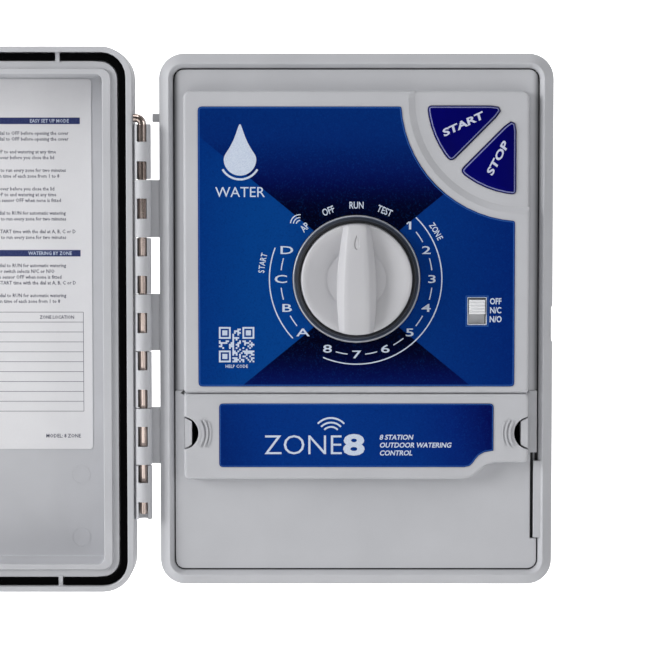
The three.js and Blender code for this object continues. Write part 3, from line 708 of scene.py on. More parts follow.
@dataclass(frozen=True)
class SmokedRing:
    """The dial's glossy ring: smoked towards the knob, with a painted highlight line in its dark band and
    a pale moulded outer edge.
    """

    name: str
    dial: float

    def material(self) -> bpy.types.Material:
        """Builds the finish."""
        shader = Shader(self.name)
        x, _, z = shader.axes()
        up = z - self.dial
        radius = (x * x + up * up).root()
        colour = shader.colours(radius, 26.5, 31, [
            (26.9, tint(2, 2, 3)),
            (28.2, tint(7, 8, 11)),
            # Painted highlight: a thin pale line round the dark band.
            (28.5, tint(66, 72, 84)),
            (28.8, tint(24, 30, 42)),
            (29.4, tint(46, 56, 74)),
            (29.8, tint(54, 62, 78)),
            (30.0, tint(146, 150, 160)),
            (30.6, tint(170, 172, 178)),
        ])
        hair = (radius * 24).wave() * 0.5 + 0.5
        colour = shader.blend(hair * 0.12, colour, tint(120, 130, 150))
        haze = shader.noise(2.2, 4, 0.6)
        normal = shader.relief(hair * 0.6 + haze * 0.4, 0.006)
        return shader.finish(colour, 0.14 + haze * 0.12, normal, Coat_Weight=0.5, Coat_Roughness=0.08)


@dataclass(frozen=True)
class RibbonFlex:
    """Flat ribbon cable: ridged grey insulation with a red edge."""

    name: str
    edge: float
    pitch: float = 1.27

    def material(self) -> bpy.types.Material:
        """Builds the finish."""
        shader = Shader(self.name)
        x, _, _ = shader.axes()
        ridges = abs((x * (math.pi / self.pitch)).wave())
        colour = shader.blend(ridges, tint(120, 121, 124), tint(176, 177, 180))
        red = 1 - (x - self.edge).ramp(1.1, 1.3)
        colour = shader.blend(red, colour, tint(170, 36, 34))
        normal = shader.relief(ridges, 0.3)
        return shader.finish(colour, 0.45 + shader.noise(2, 2) * 0.15, normal)


@dataclass(frozen=True)
class Backdrop:
    """Plain pale paper that stands behind and below the object."""

    name: str
    glow: float

    def material(self) -> bpy.types.Material:
        """Builds the finish."""
        shader = Shader(self.name)
        cloud = shader.noise(300, 2)
        colour = shader.blend(cloud, tint(250, 250, 250), tint(254, 254, 254))
        white = (1.0, 1.0, 1.0, 1.0)
        return shader.finish(colour, 0.9, None, Emission_Color=white, Emission_Strength=self.glow)


@dataclass(frozen=True)
class Finishes:
    """Every finish, built once and shared by the pieces."""

    case: bpy.types.Material
    lid: bpy.types.Material
    panel: bpy.types.Material
    cover: bpy.types.Material
    knob: bpy.types.Material
    navy: bpy.types.Material
    white: bpy.types.Material
    black: bpy.types.Material
    terminal: bpy.types.Material
    dial_film: bpy.types.Material
    cover_film: bpy.types.Material
    film_edge: bpy.types.Material
    ink: bpy.types.Material
    key_ink: bpy.types.Material
    key_edge: bpy.types.Material
    text_ink: bpy.types.Material
    heading_ink: bpy.types.Material
    paper: bpy.types.Material
    pin: bpy.types.Material
    screw: bpy.types.Material
    can: bpy.types.Material
    foam: bpy.types.Material
    ring: bpy.types.Material
    circuit: bpy.types.Material
    coil: bpy.types.Material
    core: bpy.types.Material
    glass: bpy.types.Material
    ribbon: bpy.types.Material


def make_finishes(dial: float, ribbon_edge: float) -> Finishes:
    """Builds every finish.

    Args:
        dial: The height of the dial's middle in millimetres.
        ribbon_edge: The X of the ribbon cable's left edge in millimetres.

    Returns:
        The finishes.
    """
    return Finishes(
        case=CasePlastic("case_grey", (190, 191, 195), (181, 182, 186)).material(),
        lid=MouldedPlastic("lid_grey", (191, 192, 196), (182, 183, 187)).material(),
        panel=PanelPlastic("panel_grey", (189, 190, 194), (181, 182, 186), 0.4).material(),
        cover=MouldedPlastic("cover_grey", (189, 190, 194), (181, 182, 186), 0.4).material(),
        knob=KnobPlastic("knob_grey", (194, 194, 197), (186, 186, 190), 0.34, 0.25, 0.006).material(),
        navy=MouldedPlastic("key_navy", (4, 4, 94), (2, 2, 80), 0.3, 0.3, 0.004, 0.03).material(),
        white=MouldedPlastic("slider_white", (236, 237, 238), (222, 223, 226), 0.35).material(),
        black=MouldedPlastic("fitting_black", (28, 29, 31), (16, 17, 19), 0.5).material(),
        terminal=MouldedPlastic("terminal_green", (44, 112, 66), (30, 90, 50), 0.42).material(),
        dial_film=DialFilm("dial_film", dial).material(),
        cover_film=CoverFilm("cover_film").material(),
        film_edge=Ink("film_edge", (34, 84, 150), (22, 68, 138)).material(),
        ink=Ink("print_white", (204, 213, 227), (182, 194, 214)).material(),
        key_ink=Ink("key_print_white", (204, 208, 224), (178, 184, 208)).material(),
        key_edge=Ink("key_edge_line", (128, 132, 172), (96, 102, 150)).material(),
        text_ink=Ink("text_grey", (52, 54, 76), (78, 80, 100)).material(),
        heading_ink=Ink("heading_navy", (34, 44, 92), (52, 62, 108)).material(),
        paper=SheetPaper("label_paper").material(),
        pin=DrawnSteel("pin_steel", 2, (232, 214, 204), (150, 130, 120), scoring_and_reflection=0.75).material(),
        screw=DrawnSteel("screw_steel", 1, (206, 206, 204), (150, 150, 150), 0.3).material(),
        can=DrawnSteel("can_steel", 0, (200, 201, 203), (160, 161, 164), 0.32).material(),
        foam=GasketFoam("gasket_foam").material(),
        ring=SmokedRing("dial_ring", dial).material(),
        circuit=CircuitLacquer("board_green").material(),
        coil=Winding("coil_tape", 2, 1.6, (206, 160, 44), (170, 122, 24)).material(),
        core=Winding("core_sheets", 0, 0.7, (104, 106, 110), (58, 60, 64), 0.7).material(),
        glass=ClearTube("fuse_glass").material(),
        ribbon=RibbonFlex("ribbon_grey", ribbon_edge).material(),
    )


# -------------------------------------------------------------------- shapes


def at(x: float, front: float, z: float) -> Vector:
    """A place on the object.

    Args:
        x: Millimetres to the right of the middle.
        front: Millimetres forward from the wall.
        z: Millimetres above the middle.

    Returns:
        The place, with Y pointing back into the wall.
    """
    return Vector((x, -front, z))


def limits(node: str) -> tuple[Vector, Vector]:
    """A node's lowest and highest corners in millimetres."""
    low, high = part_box(node)
    return Vector(low) / MM, Vector(high) / MM


def smooth(mesh: bpy.types.Mesh, angle: float) -> None:
    """Shades a mesh smooth, with a crease wherever it turns sharply."""
    mesh.shade_smooth()
    mesh.set_sharp_from_angle(angle=math.radians(angle))


def crease_flats(mesh: bpy.types.Mesh, turn: float = 24) -> None:
    """Adds a crease where a face that looks straight forward meets a slope.

    Args:
        mesh: The mesh.
        turn: The least turn in degrees that makes a crease.
    """
    shape = bmesh.new()
    shape.from_mesh(mesh)
    for edge in shape.edges:
        if not edge.is_manifold or edge.calc_face_angle() < math.radians(turn):
            continue
        if max(-face.normal.y for face in edge.link_faces) > 0.995:
            edge.smooth = False
    shape.to_mesh(mesh)
    shape.free()


def piece(
    name: str, shape: bmesh.types.BMesh, dress: list, body: Body, angle: float = 38
) -> bpy.types.Object:
    """Turns a shape in millimetres into a finished piece.

    Args:
        name: The piece's name.
        shape: The shape, which is used up.
        dress: The materials, in the order of the faces' material numbers.
        body: The body that it rides on.
        angle: The turn in degrees that makes a crease.

    Returns:
        The piece.
    """
    bmesh.ops.transform(shape, matrix=TO_METRES, verts=shape.verts)
    mesh = bpy.data.meshes.new(name)
    shape.to_mesh(mesh)
    shape.free()
    for material in dress:
        mesh.materials.append(material)
    smooth(mesh, angle)
    made = bpy.data.objects.new(name, mesh)
    bpy.context.scene.collection.objects.link(made)
    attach(made, body.value)
    log.info("%s: %d faces on %s", name, len(mesh.polygons), body.value)
    return made


def copied(node: str) -> bmesh.types.BMesh:
    """A node's own shape in millimetres, with its loose triangles joined into whole faces.

    Args:
        node: The node to copy.

    Returns:
        The copy.
    """
    shape = bmesh.new()
    shape.from_mesh(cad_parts[node].data)
    bmesh.ops.transform(shape, matrix=Matrix.Scale(1 / MM, 4), verts=shape.verts)
    bmesh.ops.remove_doubles(shape, verts=shape.verts, dist=0.002)
    bmesh.ops.dissolve_limit(shape, angle_limit=math.radians(1), verts=shape.verts, edges=shape.edges)
    return shape


def mark_edges(shape: bmesh.types.BMesh, radius: float, turn: float = 42) -> None:
    """Marks the edges that can be rounded: sharp ones whose neighbours are long enough.

    Args:
        shape: The shape in millimetres.
        radius: The size of the rounding in millimetres.
        turn: The least angle of a sharp edge in degrees.
    """
    weight = shape.edges.layers.float.new("bevel_weight_edge")
    room = 2.3 * radius
    roomy = {vert for vert in shape.verts if min(edge.calc_length() for edge in vert.link_edges) > room}
    for edge in shape.edges:
        sharp = edge.is_manifold and edge.calc_face_angle() > math.radians(turn)
        edge[weight] = float(sharp and edge.verts[0] in roomy and edge.verts[1] in roomy)


def soften(made: bpy.types.Object, radius: float, steps: int = 2) -> None:
    """Rounds a piece's marked edges and keeps its flat faces flat in the light.

    Args:
        made: The piece.
        radius: The size of the rounding in millimetres.
        steps: How many strips make it.
    """
    bevel = made.modifiers.new("edge rounding", "BEVEL")
    bevel.width = radius * MM
    bevel.segments = steps
    bevel.limit_method = "WEIGHT"
    bevel.use_clamp_overlap = False
    weighted = made.modifiers.new("flat faces", "WEIGHTED_NORMAL")
    weighted.weight = 50
    weighted.keep_sharp = True


def refined(
    node: str, dress: list, body: Body, radius: float, steps: int = 2
) -> bpy.types.Object:
    """A finer copy of a moulded node, with its edges rounded, that stands for it.

    Args:
        node: The node.
        dress: The materials.
        body: The body that it rides on.
        radius: The size of the rounding in millimetres.
        steps: How many strips make it.

    Returns:
        The piece.
    """
    shape = copied(node)
    mark_edges(shape, radius)
    made = piece(f"{node}_moulding", shape, dress, body)
    crease_flats(made.data)
    soften(made, radius, steps)
    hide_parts(node)
    return made


def turned(profile: list, centre: Vector, steps: int) -> bmesh.types.BMesh:
    """A closed shape turned about an axis that runs forward from the wall.

    Args:
        profile: Pairs of radius and front distance, from one end on the axis to the other,
            or closed on themselves.
        centre: A point on the axis.
        steps: The number of sides.

    Returns:
        The shape.
    """
    shape = bmesh.new()
    points = [shape.verts.new(centre + Vector((radius, -front, 0))) for radius, front in profile]
    edges = [shape.edges.new(pair) for pair in zip(points, points[1:])]
    bmesh.ops.spin(
        shape,
        geom=points + edges,
        cent=centre,
        axis=(0, 1, 0),
        angle=2 * math.pi,
        steps=steps,
        use_merge=True,
    )
    bmesh.ops.remove_doubles(shape, verts=shape.verts, dist=0.003)
    bmesh.ops.recalc_face_normals(shape, faces=shape.faces)
    return shape


def rounded_profile(corners: list, steps: int = 4) -> list:
    """A turning profile whose corners are rounded.

    Args:
        corners: Triples of radius, front distance and rounding.
        steps: How many strips make each rounding.

    Returns:
        Pairs of radius and front distance.
    """
    made = []
    for index, (radius, front, rounding) in enumerate(corners):
        here = Vector((radius, front))
        if rounding == 0 or index in (0, len(corners) - 1):
            made.append(tuple(here))
            continue
        before = (Vector(corners[index - 1][:2]) - here).normalized() * rounding + here
        after = (Vector(corners[index + 1][:2]) - here).normalized() * rounding + here
        for step in range(steps + 1):
            share = step / steps
            near = before.lerp(here, share)
            far = here.lerp(after, share)
            made.append(tuple(near.lerp(far, share)))
    return made


def front_faces(shape: bmesh.types.BMesh) -> list:
    """The faces that make up a shape's foremost flat.

    Args:
        shape: The shape in millimetres.

    Returns:
        The faces.
    """
    front = min(vert.co.y for vert in shape.verts)
    return [face for face in shape.faces if face.calc_center_median().y < front + 0.01]


def bordered(node: str, margin: float, border: float) -> tuple[bmesh.types.BMesh, list]:
    """A printed film's own shape with a border line just inside its edge.

    Args:
        node: The film's node.
        margin: How far inside the edge the line starts, in millimetres.
        border: The line's width.

    Returns:
        The shape and the line's faces.
    """
    shape = copied(node)
    facing = front_faces(shape)
    bmesh.ops.inset_region(shape, faces=facing, thickness=margin, use_even_offset=True)
    line = bmesh.ops.inset_region(shape, faces=facing, thickness=border, use_even_offset=True)
    return shape, line["faces"]


def thicken(shape: bmesh.types.BMesh, forward: float) -> None:
    """Grows a flat sheet forward into a closed plate.

    Args:
        shape: The sheet.
        forward: The plate's thickness in millimetres.
    """
    grown = bmesh.ops.extrude_face_region(shape, geom=shape.faces[:])["geom"]
    raised = [part for part in grown if isinstance(part, bmesh.types.BMVert)]
    bmesh.ops.translate(shape, verts=raised, vec=at(0, forward, 0))
    bmesh.ops.recalc_face_normals(shape, faces=shape.faces)


def append(shape: bmesh.types.BMesh, extra: bmesh.types.BMesh) -> None:
    """Adds one shape to another and uses it up.

    Args:
        shape: The shape that grows.
        extra: The shape that is added.
    """
    mesh = bpy.data.meshes.new("part")
    extra.to_mesh(mesh)
    extra.free()
    shape.from_mesh(mesh)
    bpy.data.meshes.remove(mesh)


class Printing:
    """Ink on a flat face: words, strokes and arcs gathered into one thin layer."""

    LIFT = 0.03
    STEP = 0.02

    def __init__(self, front: float) -> None:
        """Starts an empty layer.

        Args:
            front: The front distance of the face that it lies on, in millimetres.
        """
        self.shape = bmesh.new()
        self.front = front + self.LIFT

    def _take(self, mesh: bpy.types.Mesh, place: Matrix, number: int) -> None:
        """Adds a flat mesh drawn in X and Y to the layer.

        Args:
            mesh: The mesh, which is removed.
            place: Where it goes in the plane of the face.
            number: Its material number.
        """
        upright = Matrix.Translation(at(0, self.front, 0)) @ Matrix.Rotation(math.pi / 2, 4, "X")
        lift = Matrix.Translation((0, 0, self.STEP * number))
        mesh.transform(upright @ lift @ place)
        first = len(self.shape.faces)
        self.shape.from_mesh(mesh)
        self.shape.faces.ensure_lookup_table()
        for face in self.shape.faces[first:]:
            face.material_index = number
        bpy.data.meshes.remove(mesh)

    def _draw(self, flat: bmesh.types.BMesh, x: float, z: float, turn: float, number: int) -> None:
        """Adds a flat shape drawn round its own middle to the layer.

        Args:
            flat: The shape, which is used up.
            x: The X of its middle.
            z: The Z of its middle.
            turn: Its turn in degrees, anticlockwise.
            number: Its material number.
        """
        mesh = bpy.data.meshes.new("stroke")
        flat.to_mesh(mesh)
        flat.free()
        place = Matrix.Translation((x, z, 0)) @ Matrix.Rotation(math.radians(turn), 4, "Z")
        self._take(mesh, place, number)

    def word(
        self,
        text: str,
        x: float,
        z: float,
        height: float,
        width: float = 1.0,
        turn: float = 0.0,
        weight: float = 0.0,
        slant: float = 0.0,
        align: str = "CENTER",
        number: int = 0,
    ) -> None:
        """Prints a word.

        Args:
            text: The word.
            x: The X of its middle.
            z: The Z of its middle.
            height: The height of a capital letter.
            width: How wide the letters are for their height.
            turn: Its turn in degrees, anticlockwise.
            weight: How much thicker its strokes are, in millimetres.
            slant: How far it leans to the right, as a share of its height.
            align: CENTER, or LEFT where X is the word's left end.
            number: Its material number.
        """
        curve = bpy.data.curves.new("word", "FONT")
        curve.body = text
        curve.size = height / 0.69
        curve.align_x = align
        curve.offset = weight
        curve.resolution_u = 3 if height > 2 else 1
        holder = bpy.data.objects.new("word", curve)
        bpy.context.scene.collection.objects.link(holder)
        evaluated = holder.evaluated_get(bpy.context.evaluated_depsgraph_get())
        mesh = bpy.data.meshes.new_from_object(evaluated)
        bpy.data.objects.remove(holder)
        bpy.data.curves.remove(curve)
        shear = Matrix.Shear("XY", 4, (0, 0))
        shear[0][1] = slant
        place = (
            Matrix.Translation((x, z, 0))
            @ Matrix.Rotation(math.radians(turn), 4, "Z")
            @ Matrix.Diagonal((width, 1, 1, 1))
            @ shear
            @ Matrix.Translation((0, -height / 2, 0))
        )
        self._take(mesh, place, number)

    def bar(
        self, x: float, z: float, length: float, height: float, turn: float = 0.0, number: int = 0
    ) -> None:
        """Prints a straight bar.

        Args:
            x: The X of its middle.
            z: The Z of its middle.
            length: Its length.
            height: Its height.
            turn: Its turn in degrees, anticlockwise.
            number: Its material number.
        """
        flat = bmesh.new()
        size = Matrix.Diagonal((length / 2, height / 2, 1, 1))
        bmesh.ops.create_grid(flat, x_segments=1, y_segments=1, size=1, matrix=size)
        self._draw(flat, x, z, turn, number)

    def arc(self, x: float, z: float, radius: float, start: float, end: float, width: float) -> None:
        """Prints part of a ring.

        Args:
            x: The X of its centre.
            z: The Z of its centre.
            radius: Its middle radius.
            start: The angle where it starts, in degrees clockwise from the top.
            end: The angle where it ends.
            width: The width of the line.
        """
        flat = bmesh.new()
        inner = flat.verts.new((0, radius - width / 2, 0))
        outer = flat.verts.new((0, radius + width / 2, 0))
        edge = flat.edges.new((inner, outer))
        bmesh.ops.rotate(flat, verts=flat.verts, matrix=Matrix.Rotation(-math.radians(start), 3, "Z"))
        bmesh.ops.spin(
            flat,
            geom=[inner, outer, edge],
            axis=(0, 0, 1),
            angle=-math.radians(end - start),
            steps=max(2, round((end - start) / 3)),
        )
        bmesh.ops.recalc_face_normals(flat, faces=flat.faces)
        self._draw(flat, x, z, 0, 0)

    def drop(self, x: float, z: float, radius: float, height: float) -> None:
        """Prints a water drop.

        Args:
            x: The X of its round part's centre.
            z: The Z of its round part's centre.
            radius: The radius of its round part.
            height: How far its tip stands above that centre.
        """
        flat = bmesh.new()
        bmesh.ops.create_circle(flat, cap_ends=True, radius=radius, segments=64)
        for vert in flat.verts:
            rise = max(0.0, vert.co.y / radius)
            vert.co.x *= 1 - 0.62 * rise**2
            vert.co.y += (height - radius) * rise**4
        self._draw(flat, x, z, 0, 0)

    def lay(self, name: str, dress: list, body: Body) -> bpy.types.Object:
        """Finishes the layer as a piece.

        Args:
            name: The piece's name.
            dress: The inks.
            body: The body that it rides on.

        Returns:
            The piece.
        """
        facing = [face for face in self.shape.faces if face.normal.y > 0]
        bmesh.ops.reverse_faces(self.shape, faces=facing)
        return piece(name, self.shape, dress, body)


# ------------------------------------------------------------ sub-assemblies


@dataclass
class Case:
    """The moulded back case."""

    finishes: Finishes
    edge: float = 0.22

    def build(self) -> None:
        """Builds the case."""
        refined("back_case", [self.finishes.case], Body.CASE, self.edge, 3)


@dataclass
class FrontPanel:
    """The control panel with its printed film and the words round the dial."""

    finishes: Finishes
    dial: float
    edge: float = 0.3
    margin: float = 0.35
    border: float = 0.5
    text_radius: float = 36.0
    dash_radius: float = 36.4
    zone_radius: float = 41.0
    start_radius: float = 41.8
    position: float = 22.5
    caption_height: float = 3.2
    caption_width: float = 0.74
    caption_weight: float = 0.08
    figure_height: float = 3.7
    figure_width: float = 1.75
    dash_reach: float = 4.6
    dash_width: float = 0.5
    arc_width: float = 0.55
    zone_arc: tuple[float, float] = (44.0, 203.0)
    start_arc: tuple[float, float] = (227.0, 291.0)
    setting_reach: float = 8.9
    outline_half: float = 4.5
    outline_ends: tuple[float, float] = (11.4, -1.7)
    outline_width: float = 0.25
    emblem_place: tuple[float, float] = (-55.8, 77.6)
    code_corner: tuple[float, float] = (-66.1, -2.8)
    code_size: float = 17.0
    code_cells: int = 21
    marker: int = 7

    def build(self) -> None:
        """Builds the panel, its film and its print."""
        refined("front_panel", [self.finishes.panel], Body.CASE, self.edge, 3)
        self.film()
        layer = Printing(-limits("panel_label")[0].y)
        self.positions(layer)
        self.rings(layer)
        self.emblem(layer)
        self.code(layer)
        self.switch_words(layer)
        layer.lay("panel_print", [self.finishes.ink], Body.CASE)

    def film(self) -> None:
        """Lays the blue film, with a lighter line just inside its edge."""
        shape, line = bordered("panel_label", self.margin, self.border)
        middle = at(0, -min(vert.co.y for vert in shape.verts), self.dial)
        for face in line:
            if (face.calc_center_median() - middle).length > self.text_radius:
                face.material_index = 1
        dress = [self.finishes.dial_film, self.finishes.film_edge]
        made = piece("panel_film", shape, dress, Body.CASE)
        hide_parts("panel_label")

    def _polar(self, radius: float, angle: float) -> tuple[float, float]:
        """A place round the dial, at an angle in degrees clockwise from the top."""
        turn = math.radians(angle)
        return radius * math.sin(turn), self.dial + radius * math.cos(turn)

    def positions(self, layer: Printing) -> None:
        """Prints the sixteen positions of the dial.

        Args:
            layer: The print.
        """
        for text, index, inset in (("RUN", 0, 0.6), ("TEST", 1, 0.6), ("OFF", -1, 0.6), ("AP", -2, 0.9)):
            x, z = self._polar(self.text_radius - inset, index * self.position)
            turn = -index * self.position
            layer.word(text, x, z, self.caption_height, self.caption_width, turn, self.caption_weight)
        for index, text in enumerate("12345678ABCD"):
            x, z = self._polar(self.text_radius + 0.3, (index + 2) * self.position)
            layer.word(text, x, z, self.figure_height, self.figure_width, 0, 0.05)
            if text == "1":
                layer.bar(x - 0.95, z + 1.25, 1.7, 0.55, 42)
        for ring in range(3):
            x, z = self._polar(self.text_radius + 4.5, -2 * self.position)
            layer.arc(x + 1.5, z - 2.3, 1.7 + 1.4 * ring, -85, 5, self.dash_width)

    def rings(self, layer: Printing) -> None:
        """Prints the dashes and the two long arcs with their words.

        Args:
            layer: The print.
        """
        for index in [*range(2, 9), *range(10, 13)]:
            middle = (index + 0.5) * self.position
            start, end = middle - self.dash_reach, middle + self.dash_reach
            layer.arc(0, self.dial, self.dash_radius, start, end, self.dash_width)
        layer.arc(0, self.dial, self.zone_radius, *self.zone_arc, self.arc_width)
        layer.arc(0, self.dial, self.start_radius, *self.start_arc, self.arc_width)
        for text, angle, radius, step in (("ZONE", 59.3, 44.6, 3.0), ("START", 279.5, 45.8, 2.5)):
            for index, letter in enumerate(text):
                turn = angle + (index - (len(text) - 1) / 2) * step
                x, z = self._polar(radius, turn)
                layer.word(letter, x, z, 2.8, 0.76, -turn, 0.06)

    def emblem(self, layer: Printing) -> None:
        """Prints a plain water drop over a ripple, with a word below.

        Args:
            layer: The print.
        """
        x, z = self.emblem_place
        layer.drop(x, z, 7.8, 16.8)
        layer.arc(x, z, 9.6, 120, 240, 1.0)
        layer.word("WATER", x, z - 15.6, 4.8, 1.0, 0, 0.0)

    def code(self, layer: Printing) -> None:
        """Prints a made-up block of squares that stands for a help code, with a line below.

        Args:
            layer: The print.
        """
        cell = self.code_size / self.code_cells
        left, top = self.code_corner
        dice = random.Random(5)
        for row in range(self.code_cells):
            for column in range(self.code_cells):
                dark = self._is_marker(row, column) or dice.random() < 0.48
                if dark and not self._is_gap(row, column):
                    x = left + (column + 0.5) * cell
                    layer.bar(x, top - (row + 0.5) * cell, cell * 1.01, cell * 1.01)
        below = top - self.code_size - 1.9
        layer.word("HELP CODE", left + self.code_size / 2, below, 1.5, 0.95, 0, 0.03)

    def _is_marker(self, row: int, column: int) -> bool:
        """Whether a square belongs to one of the three corner markers."""
        down, across = (min(place, self.code_cells - 1 - place) for place in (row, column))
        return max(down, across) < self.marker and min(row, column) <= self.marker

    def _is_gap(self, row: int, column: int) -> bool:
        """Whether a square is left blank in or beside a corner marker.

        Args:
            row: Its row, from the top.
            column: Its column, from the left.

        Returns:
            Whether it is blank.
        """
        down, across = (min(place, self.code_cells - 1 - place) for place in (row, column))
        if min(row, column) > self.marker or max(down, across) > self.marker:
            return False
        middle = self.marker // 2
        return max(abs(down - middle), abs(across - middle)) in (2, 4)

    def switch_words(self, layer: Printing) -> None:
        """Prints the sensor switch's outline and its three settings.

        Args:
            layer: The print.
        """
        low, high = limits("sensor_slider")
        x = (low.x + high.x) / 2
        for text, z in (("OFF", 9.6), ("N/C", 5.3), ("N/O", 1.0)):
            layer.word(text, x + self.setting_reach, z, 2.8, 0.78, 0, 0.1)
        top, bottom = self.outline_ends
        for z in self.outline_ends:
            layer.bar(x, z, 2 * self.outline_half, self.outline_width)
        for side in (x - self.outline_half, x + self.outline_half):
            layer.bar(side, (top + bottom) / 2, self.outline_width, top - bottom)


@dataclass
class Dial:
    """The smoked ring and the knob with its grip."""

    finishes: Finishes
    height: float
    radius: float = 26.5
    rim: float = 75.4
    dish: float = 72.6
    hollow: float = 15.0
    grip: float = 80.0
    grip_top: float = 6.2
    grip_lean: float = -0.95
    grip_draw: float = -0.85
    grip_base: float = 9.2
    base_lean: float = -1.05
    base_draw: float = -1.95
    rounding: float = 1.2
    stations: int = 41

    def build(self) -> None:
        """Builds the ring and the knob."""
        self.ring()
        self.knob()

    def ring(self) -> None:
        """Turns the ring."""
        low, high = limits("dial_bezel")
        front, back = -low.y, -high.y
        corners = [
            (26.95, back, 0),
            (30.6, back, 0),
            (30.6, front - 0.2, 0.7),
            (29.4, front, 0.5),
            (28.9, front - 0.9, 0.4),
            (27.7, front - 1.2, 0.3),
            (26.95, front - 2.2, 0.2),
            (26.95, back, 0),
        ]
        shape = turned(rounded_profile(corners), Vector((0, 0, self.height)), 128)
        made = piece("dial_ring", shape, [self.finishes.ring], Body.CASE)
        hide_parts("dial_bezel")

    def knob(self) -> None:
        """Turns the knob's dished disc and sets its grip across it."""
        back = -limits("knob")[1].y
        corners = [
            (0, back, 0),
            (self.radius, back, 0),
            (self.radius, self.rim, 1.3),
            (self.radius - 2.6, self.rim, 1.1),
            (self.hollow, self.dish, 0.6),
            (self.hollow - 0.9, self.dish - 0.5, 0.3),
            (0, self.dish - 0.5, 0),
        ]
        shape = turned(rounded_profile(corners, 5), Vector((0, 0, self.height)), 128)
        append(shape, self.grip_bar())
        made = piece("knob_moulding", shape, [self.finishes.knob], Body.DIAL)
        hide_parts("knob")

    def _section(self, share: float) -> list:
        """One cross-section of the grip.

        Args:
            share: How far along the grip it is, from -1 to 1.

        Returns:
            Pairs of X and front distance round the section.
        """
        top = self.grip_top + share * self.grip_lean + share * share * self.grip_draw
        base = self.grip_base + share * self.base_lean + share * share * self.base_draw
        foot = self.dish - 1.2
        half = [
            (0.0, self.grip),
            (top * 0.5, self.grip - 0.03),
            (top - 0.7, self.grip - 0.12),
            (top - 0.1, self.grip - 0.4),
            (top + 0.35, self.grip - 0.9),
            (base - 0.55, self.grip - 2.9),
            (base - 0.15, self.grip - 3.6),
            (base, self.grip - 4.6),
            (base + 0.15, foot),
        ]
        return [(x, front) for x, front in half] + [(-x, front) for x, front in reversed(half[1:])]

    def grip_bar(self) -> bmesh.types.BMesh:
        """The grip, whose ends follow the disc's edge.

        Returns:
            The closed shape.
        """
        shape = bmesh.new()
        reach = self.radius - 0.15
        rings = []
        for index in range(self.stations):
            share = -math.cos(math.pi * index / (self.stations - 1))
            loop = []
            for x, front in self._section(share):
                span = math.sqrt(max(reach * reach - x * x, 1.0))
                drop = max(0.0, self.rounding - (1 - abs(share)) * span)
                if front > self.rim - 3:
                    front -= self.rounding - math.sqrt(self.rounding**2 - drop**2)
                loop.append(shape.verts.new(at(x, front, self.height + share * span)))
            rings.append([shape.edges.new(pair) for pair in zip(loop, loop[1:] + loop[:1])])
        for first, second in zip(rings, rings[1:]):
            bmesh.ops.bridge_loops(shape, edges=first + second)
        for end in (rings[0], rings[-1]):
            bmesh.ops.contextual_create(shape, geom=end)
        bmesh.ops.recalc_face_normals(shape, faces=shape.faces)
        return shape


@dataclass
class Buttons:
    """The two navy keys in the corner pod, with their outlines and words."""

    finishes: Finishes
    edge: float = 0.32
    grow: float = 1.018
    word_height: float = 3.3
    word_width: float = 1.5
    word_weight: float = 0.16
    word_slant: float = 0.1

    def build(self) -> None:
        """Builds both keys."""
        self.key("start_button", Body.START, "START", (51.0, 94.5), 25)
        self.key("stop_button", Body.STOP, "STOP", (67.6, 78.2), 62)

    def key(self, node: str, body: Body, text: str, middle: tuple[float, float], turn: float) -> None:
        """Builds one key.

        Args:
            node: The key's node.
            body: The body that it rides on.
            text: Its word.
            middle: The X and Z of the word's middle.
            turn: The word's turn in degrees.
        """
        shape = copied(node)
        low, high = limits(node)
        centre = Matrix.Translation((low + high) / 2)
        wider = centre @ Matrix.Diagonal((self.grow, 1, self.grow, 1)) @ centre.inverted()
        bmesh.ops.transform(shape, matrix=wider, verts=shape.verts)
        facing = set(front_faces(shape))
        rim = [edge for edge in shape.edges if len(facing.intersection(edge.link_faces)) == 1]
        line = bmesh.ops.bevel(
            shape,
            geom=rim,
            offset=self.edge,
            offset_type="OFFSET",
            segments=1,
            profile=0.5,
            affect="EDGES",
            material=-1,
        )
        for face in line["faces"]:
            face.material_index = 1
        dress = [self.finishes.navy, self.finishes.key_edge]
        made = piece(f"{node}_cap", shape, dress, body)
        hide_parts(node)
        layer = Printing(-low.y)
        style = (self.word_height, self.word_width, turn, self.word_weight, self.word_slant)
        layer.word(text, *middle, *style)
        layer.lay(f"{node}_print", [self.finishes.key_ink], body)


@dataclass
class SensorSwitch:
    """The white slider, and the shutter on its stem that keeps dust out of the slot."""

    finishes: Finishes
    half_width: float = 3.9
    reach: tuple[float, float] = (-2.4, 15.4)
    depth: tuple[float, float] = (61.2, 63.0)
    hole_half_width: float = 1.25
    hole: tuple[float, float] = (5.35, 8.35)

    def build(self) -> None:
        """Builds the slider and its shutter."""
        refined("sensor_slider", [self.finishes.white], Body.SLIDER, 0.2)
        self.shutter()

    def shutter(self) -> None:
        """Builds the plate behind the slot, with a hole for the slider's stem."""
        low, high = limits("sensor_slider")
        plate = bmesh.new()
        upright = Matrix.Rotation(math.pi / 2, 4, "X")
        for wide, (bottom, top) in ((self.half_width, self.reach), (self.hole_half_width, self.hole)):
            middle = at((low.x + high.x) / 2, self.depth[0], (bottom + top) / 2)
            size = Matrix.Diagonal((wide, (top - bottom) / 2, 1, 1))
            place = Matrix.Translation(middle) @ upright @ size
            made = bmesh.ops.create_grid(plate, x_segments=1, y_segments=1, size=1, matrix=place)
            bmesh.ops.delete(plate, geom=made["verts"][0].link_faces[:], context="FACES_ONLY")
        bmesh.ops.bridge_loops(plate, edges=plate.edges[:])
        thicken(plate, self.depth[1] - self.depth[0])
        piece("sensor_shutter", plate, [self.finishes.white], Body.SLIDER)


